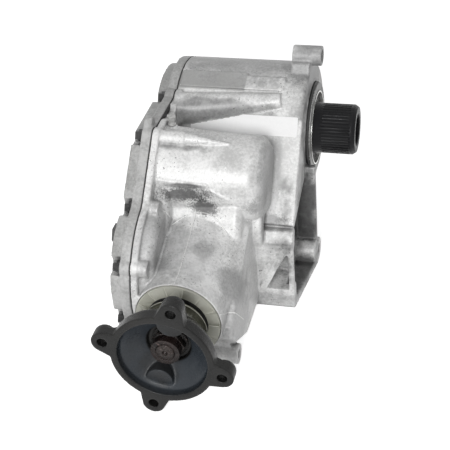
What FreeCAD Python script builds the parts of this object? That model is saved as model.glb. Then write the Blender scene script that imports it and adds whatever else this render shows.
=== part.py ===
"""Right-angle transfer case: hollow input sleeve, spur pair, face gear, pinion and output flange.

Frame: +X is the input axis out of the splined end, -Y is the output side, +Z is up.
The origin is on the input axis, at the front face of the pilot ring. Units are millimetres.
"""
import FreeCAD, Part
import math
import os

os.makedirs("parts", exist_ok=True)
V = FreeCAD.Vector
X_AXIS, Y_AXIS, Z_AXIS = V(1, 0, 0), V(0, 1, 0), V(0, 0, 1)

# ---- Fits and walls ----------------------------------------------------------------
RUN_GAP = 0.3            # radial gap between a turning part and a fixed one
SCREW_GAP = 0.1          # radial gap between a screw and its tapped hole
CLEAR_HOLE = 0.5         # radial gap between a screw and a clearance hole
GEAR_ROOM = 2.6          # room between a gear and the wall of its cavity
WALL = 5.0               # cast wall round a cavity

# ---- Gear train ----------------------------------------------------------------------
SPUR_MODULE = 3.0
INPUT_TEETH = 27
DRIVEN_TEETH = 40
SPUR_ADDENDUM = 2.7
SPUR_DEDENDUM = 3.4
SPUR_BACKLASH = 0.35     # taken off each flank
COUNTER_ANGLE = 203.7    # direction of the countershaft from the input axis, +Y towards +Z
FACE_TEETH = 36
FACE_MEAN_R = 42.0
FACE_WIDTH = 9.0
PINION_TEETH = 12
FACE_ADDENDUM = 1.2
FACE_DEDENDUM = 1.75
FACE_TOOTH_SHARE = 0.30  # tooth thickness over pitch, under a half for backlash
PINION_HEAD_LENGTH = 20.0

INPUT_YZ = (0.0, 0.0)
SPUR_CENTRES = SPUR_MODULE * (INPUT_TEETH + DRIVEN_TEETH) / 2
COUNTER_YZ = (SPUR_CENTRES * math.cos(math.radians(COUNTER_ANGLE)),
              SPUR_CENTRES * math.sin(math.radians(COUNTER_ANGLE)))
INPUT_GEAR_R = SPUR_MODULE * INPUT_TEETH / 2
DRIVEN_GEAR_R = SPUR_MODULE * DRIVEN_TEETH / 2

# ---- Pinion and output axis (parallel to Y) ---------------------------------------------
OUTPUT_X = -81.9
OUTPUT_Z = -66.7
PINION_DROP = OUTPUT_Z - COUNTER_YZ[1]
PINION_SINE = -PINION_DROP / FACE_MEAN_R
PINION_COSINE = math.sqrt(1 - PINION_SINE ** 2)
PINION_R = FACE_MEAN_R * PINION_TEETH / FACE_TEETH / PINION_COSINE
PINION_Y = COUNTER_YZ[0] - FACE_MEAN_R * PINION_COSINE
PINION_TWIST = -PINION_SINE / PINION_COSINE / PINION_R   # radians per mm along +Y
FACE_PITCH_X = OUTPUT_X + PINION_R

# ---- Stations along X ----------------------------------------------------------------------
PARTING_X = -121.0
GASKET = 0.5
COVER_FLANGE_X = -130.5
COVER_TOP_X = -141.0
COVER_WALL = 5.0
COVER_RECESS_R = 56.0
COVER_RECESS_DEPTH = 2.0
COVER_RIBS = 8
SPUR_X0, SPUR_X1 = -119.0, -106.0
CASE_FLANGE_X = -115.0
SIDE_X = -4.0            # machined side of the case, behind the pilot ring
MOUNT_X = 5.0            # mounting plane of the bolting bosses
SLEEVE_END_X = 37.4
BASE_Z = -125.2          # plane the case stands on

# ---- Housing radii and profile -------------------------------------------------------------
HOUSING_R = 60.0
NOSE_DRUM_YZ = (-146.0, -57.0)
NOSE_DRUM_R = 66.0
GEAR_DRUM_R = 74.0       # joint face round the driven gear
PILOT_R = 41.5
PILOT_LENGTH = 8.0
BULGE_YZ = (-95.0, 3.0)
BULGE_R0, BULGE_R1 = 43.0, 36.5
BULGE_END_X = -26.0
DECK_R = 60.5            # distance of the sloping deck from the input axis
DECK_ANGLE = 144.0       # direction of its normal, +Y towards +Z
DECK_LENGTH = 91.0

# ---- Cover screws (y, z), clockwise from the top of the input housing ------------------------
COVER_BOLTS = [(29.0, 43.5), (-38.0, 44.0), (-107.0, 45.0), (-154.0, 2.5), (-198.0, -27.0),
               (-204.0, -77.0), (-172.0, -112.6), (-112.0, -113.0), (-42.0, -96.0),
               (12.8, -51.4), (45.0, -28.0), (51.8, 11.0)]
LUG_R = 8.2
BOLT_R = 3.0
BOLT_HEAD_R = 5.8        # across corners
BOLT_HEAD = 5.0
BOLT_WASHER = 1.4
BOLT_WASHER_R = 6.8
BOLT_DEPTH = 11.0
BRACKET_LUG_YZ = (-99.0, 54.0)   # small lug of the cover above its third screw
DOWELS = [(-70.0, 43.0), (-150.0, -118.0)]
DOWEL_R = 3.0
DOWEL_DEPTH = 5.0        # into the case, and into the cover

# ---- Bolting points of the mounting side (y, z) ---------------------------------------------------
EAR_YZ = (7.0, 70.0)
EAR_R = 9.0
LEG_YZ = (-35.0, -113.5)
LEG_R = 11.5
BACK_EAR_YZ = (56.0, -24.0)
MOUNT_HOLE_R = 5.5
WEB_THICK = 6.0          # web from the pilot ring down to the leg
RECESS_X = -14.0         # floor of the recess in the side of the case
FLOOR_THICK = 8.0
BRACKET_YZ = (-194.0, -113.0)    # boss under the nose
BRACKET_R = 9.0
BRACKET_END_X = -37.0

# ---- Plugs and breather ----------------------------------------------------------------------------------
FILL_PLUG_YZ = (-156.0, -25.0)
DRAIN_PLUG_YZ = (-140.0, -98.0)
PLUG_THREAD_R = 8.0
BREATHER_XY = (-110.5, -88.0)
BREATHER_R = 2.4
BREATHER_SEAT_Z = 46.5

# ---- Input sleeve ------------------------------------------------------------------------------
SLEEVE_BORE_R = 14.5
SPLINE_R = 23.0
SPLINE_DEPTH = 1.3
SPLINE_COUNT = 42
SPLINE_START_X = 3.0
SEAL_LAND_R = 23.5
INPUT_SEAT_R = 24.0
SLEEVE_TAIL_R = 20.0
SLEEVE_TAIL_X = -136.0

# ---- Seals round the input sleeve --------------------------------------------------------------------
INPUT_SEAL_SECTION = 10.5
INPUT_SEAL_R = SEAL_LAND_R + INPUT_SEAL_SECTION
INPUT_SEAL_X = -12.0
O_RING_X = -2.6
O_RING_R = 1.5
O_RING_MEAN_R = PILOT_R - 0.4
HALFSHAFT_SEAL_R = 24.0

# ---- Bearings: bore radius, outer radius, width -----------------------------------------------
INPUT_INNER = (24.0, 36.5, 15.0)
INPUT_COVER = (20.0, 31.0, 13.0)
COUNTER_CASE = (11.0, 22.0, 12.0)
COUNTER_COVER = (13.0, 26.0, 13.0)
PINION_HEAD = (15.0, 30.0, 16.0)
PINION_TAIL = (13.0, 26.0, 14.0)
INPUT_INNER_X = -44.0
COUNTER_CASE_X = -47.0
COVER_BEARING_X = -135.0
PINION_HEAD_Y = -173.0
PINION_TAIL_Y = -203.0
ROLLER_TILT = 12.0
ROLLERS = 12

# ---- Countershaft and its ring gear ----------------------------------------------------------------
COUNTER_R = 15.0
FACE_BACK_X = -52.0
CARRIER_R = 31.0
RING_BOLT_R = 3.0
RING_BOLT_PITCH_R = 25.0
RING_BOLTS = 8

# ---- Output flange --------------------------------------------------------------------------------
FLANGE_FRONT_Y = -262.0
FLANGE_R = 43.5
FLANGE_BOWL_R = 37.5
FLANGE_PITCH_R = 50.0
FLANGE_EARS = 4
FLANGE_EAR_ANGLE = 76.04
FLANGE_EAR_R = 9.5
FLANGE_EAR_HOLE_R = 4.2
FLANGE_EAR_DEPTH = 10.0
HUB_R = 18.0
HUB_BORE_R = 11.0
NUT_POCKET_R = 18.5
NUT_SEAT_Y = -236.5
NUT_R = 14.5             # across corners
NUT_CROWN_R = 12.2
THREAD_R = 8.0
SHAFT_END_Y = -253.0
EAR_BUMP_PITCH_R = 31.0  # round bumps inside the bowl, behind two opposite ears
EAR_BUMP_R = 11.5
EAR_BUMP_Y = -253.5
EAR_BUMP_END_Y = -240.0
COLLAR_Y = -214.0
COLLAR_R = 36.1
COLLAR_THICK = 4.5
NOSE_END_R = 37.6
NOSE_FLAT = 43.9         # flat side of the nose, from the output axis


# ---- Shape helpers -----------------------------------------------------------------------------------
def cyl_x(yz, r, x0, x1):
    """Cylinder along +X between two stations."""
    return Part.makeCylinder(r, x1 - x0, V(x0, yz[0], yz[1]), X_AXIS)


def cone_x(yz0, r0, x0, r1, x1):
    return Part.makeCone(r0, r1, x1 - x0, V(x0, yz0[0], yz0[1]), X_AXIS)


def cyl_y(r, y0, y1, x=OUTPUT_X, z=OUTPUT_Z):
    """Cylinder along Y between two stations, on the output axis unless told otherwise."""
    return Part.makeCylinder(r, y1 - y0, V(x, y0, z), Y_AXIS)


def tube_x(yz, r_out, r_in, x0, x1):
    return cyl_x(yz, r_out, x0, x1).cut(cyl_x(yz, r_in, x0 - 1, x1 + 1))


def tube_y(r_out, r_in, y0, y1):
    return cyl_y(r_out, y0, y1).cut(cyl_y(r_in, y0 - 1, y1 + 1))


def box(x0, x1, y0, y1, z0, z1):
    return Part.makeBox(x1 - x0, y1 - y0, z1 - z0, V(x0, y0, z0))


def polygon_solid(points, direction):
    wire = Part.makePolygon(points + [points[0]])
    return Part.Face(wire).extrude(direction)


def prism_x(yz_points, x0, x1):
    """Prism along +X from a closed outline of (y, z) points."""
    return polygon_solid([V(x0, y, z) for y, z in yz_points], V(x1 - x0, 0, 0))


def hull_outline(p, rp, q, rq):
    """Outline of two circles joined by their outer tangents, as edges in a flat (u, v) plane."""
    du, dv = q[0] - p[0], q[1] - p[1]
    span = math.hypot(du, dv)
    heading = math.atan2(dv, du)
    lean = math.acos((rp - rq) / span)
    def on(c, r, a):
        return V(c[0] + r * math.cos(a), c[1] + r * math.sin(a), 0)
    left, right = heading + lean, heading - lean
    p_left, p_right = on(p, rp, left), on(p, rp, right)
    q_left, q_right = on(q, rq, left), on(q, rq, right)
    return Part.Wire([
        Part.LineSegment(p_right, q_right).toShape(),
        Part.Arc(q_right, on(q, rq, heading), q_left).toShape(),
        Part.LineSegment(q_left, p_left).toShape(),
        Part.Arc(p_left, on(p, rp, heading + math.pi), p_right).toShape()])


def belt_x(p, rp, q, rq, x0, x1):
    """Slab along +X whose outline is two circles (y, z) joined by tangents."""
    slab = Part.Face(hull_outline(p, rp, q, rq)).extrude(V(0, 0, x1 - x0))
    slab.transformShape(FreeCAD.Matrix(0, 0, 1, x0, 1, 0, 0, 0, 0, 1, 0, 0, 0, 0, 0, 1))
    return slab


def belt_y(p, rp, q, rq, y0, y1):
    """Slab along Y whose outline is two circles (x, z) joined by tangents."""
    slab = Part.Face(hull_outline(p, rp, q, rq)).extrude(V(0, 0, y0 - y1))
    slab.transformShape(FreeCAD.Matrix(1, 0, 0, 0, 0, 0, -1, y0, 0, 1, 0, 0, 0, 0, 0, 1))
    return slab


def revolve_x(yz, profile):
    """Solid of revolution about the X-parallel axis through yz, from (x, r) points."""
    points = [V(x, yz[0] + r, yz[1]) for x, r in profile]
    face = Part.Face(Part.makePolygon(points + [points[0]]))
    return face.revolve(V(0, yz[0], yz[1]), X_AXIS, 360)


def revolve_y(profile):
    """Solid of revolution about the output axis, from (y, r) points."""
    points = [V(OUTPUT_X + r, y, OUTPUT_Z) for y, r in profile]
    face = Part.Face(Part.makePolygon(points + [points[0]]))
    return face.revolve(V(OUTPUT_X, 0, OUTPUT_Z), Y_AXIS, 360)


def domed_cyl_x(yz, r, x0, x1, soft):
    """Cylinder along +X whose far end has a rounded edge of radius soft."""
    body = cyl_x(yz, r, x0, x1)
    rim = [e for e in body.Edges if abs(e.BoundBox.XMin - x1) < 0.01 and abs(e.BoundBox.XMax - x1) < 0.01]
    return body.makeFillet(soft, rim)


def hex_x(yz, across_corners_r, x0, x1):
    points = []
    for i in range(6):
        a = math.radians(60 * i)
        points.append((yz[0] + across_corners_r * math.cos(a), yz[1] + across_corners_r * math.sin(a)))
    return prism_x(points, x0, x1)


def fuse(shapes):
    solid = shapes[0].multiFuse(shapes[1:]) if len(shapes) > 1 else shapes[0]
    return solid.removeSplitter()


def cut(body, tools):
    return body.cut(Part.makeCompound(tools)) if tools else body


def largest(shape):
    """The casting itself, without slivers that the cuts leave loose."""
    return max(shape.Solids, key=lambda solid: solid.Volume)


def export(name, shape):
    shape.exportStep("parts/" + name + ".step")
    print("%-24s solids %2d  volume %10.0f  valid %s" % (name, len(shape.Solids), shape.Volume, shape.isValid()))


def group(shapes):
    return Part.makeCompound(shapes)


# ---- Housing outline at the joint face ----------------------------------------------------------------
def joint_outline(x0, x1):
    """Slab with the outline that the case and its cover share: three rounds, lugs and straight runs."""
    slabs = [cyl_x(INPUT_YZ, HOUSING_R, x0, x1),
             cyl_x(NOSE_DRUM_YZ, NOSE_DRUM_R, x0, x1),
             cyl_x(COUNTER_YZ, GEAR_DRUM_R, x0, x1),
             prism_x(COVER_BOLTS, x0, x1)]
    slabs += [cyl_x(p, LUG_R, x0, x1) for p in COVER_BOLTS]
    slabs += [belt_x(COVER_BOLTS[1], 5.0, COVER_BOLTS[2], 5.5, x0, x1),
              belt_x(COVER_BOLTS[2], LUG_R - 0.1, COVER_BOLTS[3], LUG_R - 0.6, x0, x1),
              belt_x(COVER_BOLTS[3], LUG_R - 1.2, COVER_BOLTS[4], LUG_R - 0.7, x0, x1)]
    return fuse(slabs)


# ---- Castings -----------------------------------------------------------------------------------------------
def nose_body():
    """Tapered nose round the pinion, cut flat on both sides."""
    nose = revolve_y([(-60, 0), (-60, 58), (-128, 58), (-167, 45.5), (-196, NOSE_END_R + 0.6),
                      (COLLAR_Y + 1.5, NOSE_END_R), (COLLAR_Y + 1.5, 0)])
    return nose.common(box(PARTING_X, OUTPUT_X + NOSE_FLAT, COLLAR_Y, -50, OUTPUT_Z - 63, 20))


def case_outside():
    """Every outer form of the main casting, before anything is hollowed out."""
    deck_n = (math.cos(math.radians(DECK_ANGLE)), math.sin(math.radians(DECK_ANGLE)))
    deck_top = (DECK_R * deck_n[0], DECK_R * deck_n[1])
    deck_end = (deck_top[0] - DECK_LENGTH * deck_n[1], deck_top[1] + DECK_LENGTH * deck_n[0])
    deck = prism_x([(0, 0), deck_top, deck_end, (-113, -54), (-112.5, -100), (-30, -100)], -119, SIDE_X)
    lower_box = prism_x([(-112.5, -90), (-112.5, BASE_Z), (-30, BASE_Z), (-10, -58), (-60, -60)], -62, SIDE_X)
    # Raised edge of the triangular pocket
    pocket_edge = polygon_solid([V(-8.5, -114, -56), V(-8.5, -114, -62), V(-30, -114, -105),
                                 V(-36.5, -114, -105), V(-13, -114, -56)], V(0, 4, 0))
    forms = [joint_outline(PARTING_X, CASE_FLANGE_X),
             domed_cyl_x(INPUT_YZ, HOUSING_R, CASE_FLANGE_X - 1, SIDE_X, 4),
             deck, lower_box, pocket_edge,
             domed_cyl_x(COUNTER_YZ, DRIVEN_GEAR_R + SPUR_ADDENDUM + GEAR_ROOM + WALL, CASE_FLANGE_X - 1, -102, 7),
             domed_cyl_x(COUNTER_YZ, FACE_MEAN_R + FACE_WIDTH / 2 + GEAR_ROOM + WALL + 1, -104, -42, 6),
             domed_cyl_x(COUNTER_YZ, COUNTER_CASE[1] + WALL, -60, COUNTER_CASE_X + COUNTER_CASE[2] + WALL, 3),
             domed_cyl_x(NOSE_DRUM_YZ, NOSE_DRUM_R - 5, CASE_FLANGE_X - 1, -104, 8),
             bulge_body(), nose_body(),
             box(-116, -40, -150, -105, BASE_Z, -80)]
    return fuse(forms)


def bulge_body():
    """Big rounded panel over the gears, tapering towards the mounting side."""
    body = cone_x(BULGE_YZ, BULGE_R0, CASE_FLANGE_X - 1, BULGE_R1, BULGE_END_X)
    rim = [e for e in body.Edges if abs(e.BoundBox.XMin - BULGE_END_X) < 0.01]
    return body.makeFillet(14, rim)


def foot_pockets():
    """Cored pockets in the underside, with ribs between them."""
    spans_x = [(-109, -88), (-83, -64), (-59, -46)]
    pockets = [box(x0, x1, -145, -117, BASE_Z - 1, -103) for x0, x1 in spans_x]
    pockets += [box(-57, -36, y0, y1, BASE_Z - 1, -101) for y0, y1 in ((-106, -74), (-69, -38))]
    pockets.append(box(-31, -18, -78, -38, BASE_Z - 1, -101))
    return pockets


def rod(start, end, r0, r1):
    """Tapered round rib between two points."""
    return Part.makeCone(r0, r1, (end - start).Length, start, end - start)


def bulge_point(x, angle, sink=0.0):
    """Point on the rounded panel at station x, or sunk below its surface."""
    share = (x - CASE_FLANGE_X + 1) / (BULGE_END_X - CASE_FLANGE_X + 1)
    r = BULGE_R0 + (BULGE_R1 - BULGE_R0) * share - sink
    a = math.radians(angle)
    return V(x, BULGE_YZ[0] + r * math.cos(a), BULGE_YZ[1] + r * math.sin(a))


def bulge_ribs():
    """Mould ledge along the front of the rounded panel, with the ejector boss where it ends."""
    turn, end = bulge_point(-76, 161, 0.6), bulge_point(-73, 164, 0.8)
    outward = V(0, end.y - BULGE_YZ[0], end.z - BULGE_YZ[1])
    return [rod(bulge_point(CASE_FLANGE_X - 1, 157, 0.6), turn, 1.7, 1.4),
            Part.makeCylinder(3.4, 5.5, end - outward * 0.1, outward),
            rod(end, bulge_point(-58, 176, 0.4), 1.7, 1.6),
            rod(bulge_point(-58, 176, 0.4), bulge_point(-38, 192, 0.4), 1.6, 1.2)]


def case_details():
    """Bosses, pads and ribs on the outside of the casting."""
    b1, b3 = COVER_BOLTS[0], COVER_BOLTS[2]
    boss_r, boss_end = 6.2, -94
    forms = [cyl_x(b1, LUG_R, CASE_FLANGE_X - 1, -98),
             cyl_x(b3, boss_r, CASE_FLANGE_X - 1, boss_end),
             rod(V(boss_end - 1, b3[0], b3[1]), V(-56, b3[0] + 2, b3[1] - 4), boss_r - 1, 1.0),
             prism_x([(b3[0] - 1, b3[1]), (b3[0] + 1, b3[1]), (b3[0] + 4, 30), (b3[0] - 4, 30)], boss_end - 20, -70),
             Part.makeCone(15, 7, 94, V(-118, -46, 38), V(94, 10, 8)),
             prism_x([(-14, 61), (-31, 54), (-26, 44), (-6, 50)], -119, -59),
             prism_x([(-17, 59.6), (-31, 53.6), (-26, 44), (-8, 50)], -60, -24)]
    forms += [cyl_x(p, LUG_R - 1.0, CASE_FLANGE_X - 1, PARTING_X + BOLT_DEPTH + 3) for p in COVER_BOLTS[3:]]
    forms += bulge_ribs()
    # Seat of the breather on the rounded panel
    forms.append(Part.makeCylinder(BREATHER_R + 2, 9, V(BREATHER_XY[0], BREATHER_XY[1], BREATHER_SEAT_Z - 9), Z_AXIS))
    # Bracket boss under the nose, with the web that carries it
    forms.append(cyl_x(BRACKET_YZ, BRACKET_R, -75, BRACKET_END_X))
    forms.append(box(-72, -44, BRACKET_YZ[0] - 3, -150, -112, -96))
    # Raised pad on the deck, left of the label
    forms.append(deck_pad(-116, -105.5, -2.5, 13.5, 1.2))
    return forms


def deck_pad(x0, x1, near, far, thick):
    """Flat pad on the sloping deck, from two distances down the slope."""
    a = math.radians(DECK_ANGLE)
    n, t = (math.cos(a), math.sin(a)), (-math.sin(a), math.cos(a))
    points = [(r * n[0] + d * t[0], r * n[1] + d * t[1]) for r, d in (
        (DECK_R - 3, near), (DECK_R + thick, near), (DECK_R + thick, far), (DECK_R - 3, far))]
    return prism_x(points, x0, x1)


def side_recess():
    """Recess in the mounting side, behind the deck and under the pilot ring, open towards +X."""
    floor = BASE_Z + FLOOR_THICK
    outline = [(-34, -20), (-99, -42), (-103.5, -60), (-107.5, -62), (-107.5, floor), (-34, floor)]
    return prism_x(outline, RECESS_X, SIDE_X + 1).cut(cyl_x(INPUT_YZ, PILOT_R + 5, RECESS_X - 1, SIDE_X + 2))


def mounting_side():
    """Pilot ring, bolting bosses and the web that carries the leg, on the input side."""
    web_front = LEG_YZ[0] - LEG_R
    web = prism_x([(web_front, -15), (web_front, LEG_YZ[1]), (web_front + WEB_THICK, LEG_YZ[1]),
                   (web_front + WEB_THICK, -15)], RECESS_X - 2, MOUNT_X)
    back_arm = belt_x((20, -10), 30, BACK_EAR_YZ, LEG_R, RECESS_X, SIDE_X - 1)
    window = cyl_x(INPUT_YZ, PILOT_R + 0.5, -3.5, MOUNT_X + 1)
    ear = fuse([cyl_x(EAR_YZ, EAR_R, -21, MOUNT_X),
                prism_x([(-14, 50), (-6, 68), (17, 68), (34, 46)], -21, SIDE_X)])
    floor_rib = polygon_solid([V(-40, -112.5, BASE_Z), V(SIDE_X, -112.5, BASE_Z), V(MOUNT_X, LEG_YZ[0] - 8, BASE_Z),
                               V(MOUNT_X, LEG_YZ[0] + 5, BASE_Z), V(-40, LEG_YZ[0] + 5, BASE_Z)], V(0, 0, FLOOR_THICK))
    corner = box(-13, SIDE_X, -112.5, -103, BASE_Z, -101)
    return [cut(web, [window]), ear, floor_rib, corner, back_arm,
            cyl_x(LEG_YZ, LEG_R, RECESS_X - 4, MOUNT_X),
            cyl_x(BACK_EAR_YZ, LEG_R, -22, SIDE_X),
            cyl_x(INPUT_YZ, 45, SIDE_X - 1, SIDE_X + 0.5),
            cyl_x(INPUT_YZ, PILOT_R, -PILOT_LENGTH, 0)]


def bearing_seat(spec):
    return spec[1] + SCREW_GAP


def case_hollows():
    """Gear rooms, bearing seats, screw holes and pockets."""
    face_room_r = FACE_MEAN_R + FACE_WIDTH / 2 + GEAR_ROOM
    rooms = [cyl_x(COUNTER_YZ, DRIVEN_GEAR_R + SPUR_ADDENDUM + GEAR_ROOM, PARTING_X - 1, SPUR_X1 + 2),
             cyl_x(INPUT_YZ, INPUT_GEAR_R + SPUR_ADDENDUM + GEAR_ROOM - 1, PARTING_X - 1, SPUR_X1 + 4),
             cyl_x(INPUT_YZ, 40, SPUR_X1, INPUT_INNER_X - 4),
             cyl_x(COUNTER_YZ, face_room_r, SPUR_X1, COUNTER_CASE_X + 1),
             cyl_x(NOSE_DRUM_YZ, NOSE_DRUM_R - 14, PARTING_X - 1, PARTING_X + 6)]
    input_bore = [cyl_x(INPUT_YZ, bearing_seat(INPUT_INNER), INPUT_INNER_X - 6, INPUT_INNER_X + INPUT_INNER[2]),
                  cyl_x(INPUT_YZ, SEAL_LAND_R + 4, -40, 1),
                  cyl_x(INPUT_YZ, INPUT_SEAL_R + SCREW_GAP, INPUT_SEAL_X, 1)]
    counter_bore = [cyl_x(COUNTER_YZ, bearing_seat(COUNTER_CASE), COUNTER_CASE_X, COUNTER_CASE_X + COUNTER_CASE[2])]
    pinion_bore = [cyl_y(PINION_R + FACE_ADDENDUM + 4, PINION_HEAD_Y + PINION_HEAD[2], COUNTER_YZ[0]),
                   cyl_y(bearing_seat(PINION_HEAD), PINION_HEAD_Y, PINION_HEAD_Y + PINION_HEAD[2] + 1),
                   cyl_y(PINION_TAIL[1] - 4, PINION_TAIL_Y, PINION_HEAD_Y),
                   cyl_y(bearing_seat(PINION_TAIL), COLLAR_Y - 1, PINION_TAIL_Y + PINION_TAIL[2]),
                   cyl_y(COLLAR_R + RUN_GAP, COLLAR_Y - 1, COLLAR_Y + COLLAR_THICK)]
    screws = [cyl_x(p, BOLT_R + SCREW_GAP, PARTING_X - 1, PARTING_X + BOLT_DEPTH + 1) for p in COVER_BOLTS]
    screws += [cyl_x(p, DOWEL_R + SCREW_GAP, PARTING_X - 1, PARTING_X + DOWEL_DEPTH + 0.5) for p in DOWELS]
    mounts = [cyl_x(p, MOUNT_HOLE_R, -40, MOUNT_X + 1) for p in (EAR_YZ, LEG_YZ, BACK_EAR_YZ)]
    mounts.append(cyl_x(BRACKET_YZ, 4.0, BRACKET_END_X - 21, BRACKET_END_X + 1))
    o_ring_groove = tube_x(INPUT_YZ, PILOT_R + 1, O_RING_MEAN_R - O_RING_R, O_RING_X - O_RING_R, O_RING_X + O_RING_R)
    vent = [Part.makeCylinder(BREATHER_R + SCREW_GAP, 12, V(*BREATHER_XY, BREATHER_SEAT_Z - 11), Z_AXIS),
            Part.makeCylinder(1.6, 40, V(*BREATHER_XY, BREATHER_SEAT_Z - 42), Z_AXIS)]
    # Triangular pocket under the deck, seen from the output side
    pocket = polygon_solid([V(-9, -115, -62), V(-9, -115, -105), V(-30, -115, -105)], V(0, 32, 0))
    groove = prism_x([(-98.5, -44.5), (-106, -37), (-108, -44.5)], -57, SIDE_X + 1)
    bores = input_bore + counter_bore + pinion_bore + screws + mounts + vent
    return rooms + bores + foot_pockets() + [o_ring_groove, pocket, groove]


def main_case():
    body = fuse([case_outside()] + case_details())
    body = fuse([body.cut(side_recess())] + mounting_side())
    return largest(cut(body, case_hollows()).removeSplitter())


def cover_recess():
    """Shallow recess round the countershaft in the cover's face, crossed by stiffening ribs."""
    ring = tube_x(COUNTER_YZ, COVER_RECESS_R, COUNTER_COVER[1] + 8, COVER_TOP_X - 1, COVER_TOP_X + COVER_RECESS_DEPTH)
    ribs = []
    for i in range(COVER_RIBS):
        rib = box(COVER_TOP_X - 2, COVER_TOP_X + 3, 0, COVER_RECESS_R + 2, -2.5, 2.5)
        rib.rotate(V(0, 0, 0), X_AXIS, COUNTER_ANGLE - 180 + 360.0 * (i + 0.5) / COVER_RIBS)
        rib.translate(V(0, COUNTER_YZ[0], COUNTER_YZ[1]))
        ribs.append(rib)
    return cut(ring, ribs + [cyl_x(INPUT_YZ, 38, COVER_TOP_X - 2, COVER_TOP_X + 3)])


def side_cover():
    """Cover over the gear side: joint flange, raised face scalloped round the screws, bearing pockets."""
    x_joint = PARTING_X - GASKET
    flange = joint_outline(COVER_FLANGE_X, x_joint)
    raised = fuse([cyl_x(INPUT_YZ, HOUSING_R - 7, COVER_TOP_X, COVER_FLANGE_X + 1),
                   cyl_x(NOSE_DRUM_YZ, NOSE_DRUM_R - 7, COVER_TOP_X, COVER_FLANGE_X + 1),
                   cyl_x(COUNTER_YZ, GEAR_DRUM_R - 6, COVER_TOP_X, COVER_FLANGE_X + 1),
                   prism_x(COVER_BOLTS, COVER_TOP_X, COVER_FLANGE_X + 1)])
    scallops = [cyl_x(p, BOLT_WASHER_R + 1.2, COVER_TOP_X - 1, COVER_FLANGE_X) for p in COVER_BOLTS]
    raised = cut(raised, scallops)
    shaft_boss = cyl_x(INPUT_YZ, 32, COVER_TOP_X - 6, COVER_TOP_X + 1)
    bracket_lug = belt_x(BRACKET_LUG_YZ, 5.0, COVER_BOLTS[2], 6.5, COVER_FLANGE_X, COVER_FLANGE_X + 7)
    body = fuse([flange, raised, shaft_boss, bracket_lug]).cut(cover_recess())
    inner_x = COVER_TOP_X + COVER_WALL
    rooms = fuse([cyl_x(COUNTER_YZ, DRIVEN_GEAR_R + SPUR_ADDENDUM + GEAR_ROOM, inner_x, x_joint + 1),
                  cyl_x(INPUT_YZ, INPUT_GEAR_R + SPUR_ADDENDUM + GEAR_ROOM - 1, inner_x, x_joint + 1),
                  cyl_x(NOSE_DRUM_YZ, NOSE_DRUM_R - 14, inner_x, x_joint + 1)])
    keep = [cyl_x(INPUT_YZ, INPUT_COVER[1] + 6, inner_x - 1, x_joint),
            cyl_x(COUNTER_YZ, COUNTER_COVER[1] + 6, inner_x - 1, x_joint),
            cyl_x(COVER_BOLTS[3], LUG_R - 1.2, inner_x - 1, x_joint),
            cyl_x(FILL_PLUG_YZ, 13, inner_x - 1, x_joint - 3),
            cyl_x(DRAIN_PLUG_YZ, 13, inner_x - 1, x_joint - 3)]
    body = body.cut(cut(rooms, keep))
    bores = [cyl_x(INPUT_YZ, bearing_seat(INPUT_COVER), COVER_BEARING_X, x_joint + 1),
             cyl_x(COUNTER_YZ, bearing_seat(COUNTER_COVER), COVER_BEARING_X, x_joint + 1),
             cyl_x(INPUT_YZ, HALFSHAFT_SEAL_R + SCREW_GAP, COVER_TOP_X - 7, COVER_BEARING_X - 1.5),
             cyl_x(INPUT_YZ, SLEEVE_TAIL_R + 2, COVER_BEARING_X - 3, COVER_BEARING_X + 1)]
    bores += [cyl_x(p, BOLT_R + CLEAR_HOLE, COVER_TOP_X, x_joint + 1) for p in COVER_BOLTS]
    bores += [cyl_x(p, PLUG_THREAD_R + SCREW_GAP, COVER_TOP_X - 1, x_joint) for p in (FILL_PLUG_YZ, DRAIN_PLUG_YZ)]
    bores += [cyl_x(p, DOWEL_R + SCREW_GAP, x_joint - DOWEL_DEPTH - 0.5, x_joint + 1) for p in DOWELS]
    return cut(body, bores).removeSplitter()


def cover_gasket():
    """Thin gasket in the joint, open over the gear rooms."""
    sheet = joint_outline(PARTING_X - GASKET, PARTING_X)
    rooms = [cyl_x(COUNTER_YZ, DRIVEN_GEAR_R + SPUR_ADDENDUM + GEAR_ROOM, PARTING_X - 2, PARTING_X + 1),
             cyl_x(INPUT_YZ, INPUT_GEAR_R + SPUR_ADDENDUM + GEAR_ROOM - 1, PARTING_X - 2, PARTING_X + 1),
             cyl_x(NOSE_DRUM_YZ, NOSE_DRUM_R - 14, PARTING_X - 2, PARTING_X + 1)]
    holes = [cyl_x(p, BOLT_R + CLEAR_HOLE, PARTING_X - 2, PARTING_X + 1) for p in COVER_BOLTS]
    holes += [cyl_x(p, DOWEL_R + SCREW_GAP, PARTING_X - 2, PARTING_X + 1) for p in DOWELS]
    keep = cyl_x(COVER_BOLTS[3], LUG_R - 1.2, PARTING_X - GASKET, PARTING_X)
    return cut(fuse([cut(sheet, rooms), keep]), holes)


# ---- Fasteners ---------------------------------------------------------------------------------------------------
def flange_bolt(yz, seat_x, depth):
    """Hexagon flange screw pointing +X, its washer face on seat_x."""
    washer = cone_x(yz, BOLT_WASHER_R - 1.4, seat_x - BOLT_WASHER - 0.4, BOLT_WASHER_R, seat_x - 0.4)
    rim = cyl_x(yz, BOLT_WASHER_R, seat_x - 0.5, seat_x)
    head = hex_x(yz, BOLT_HEAD_R, seat_x - BOLT_WASHER - BOLT_HEAD, seat_x - BOLT_WASHER)
    shank = cyl_x(yz, BOLT_R, seat_x - 0.1, seat_x + depth)
    return fuse([washer, rim, head, shank])


def cover_bolts():
    depth = PARTING_X + BOLT_DEPTH - COVER_FLANGE_X
    return group([flange_bolt(p, COVER_FLANGE_X, depth) for p in COVER_BOLTS])


def dowel_pins():
    """Two pins that keep the cover in register with the case."""
    return group([cyl_x(p, DOWEL_R, PARTING_X - GASKET - DOWEL_DEPTH, PARTING_X + DOWEL_DEPTH) for p in DOWELS])


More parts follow.
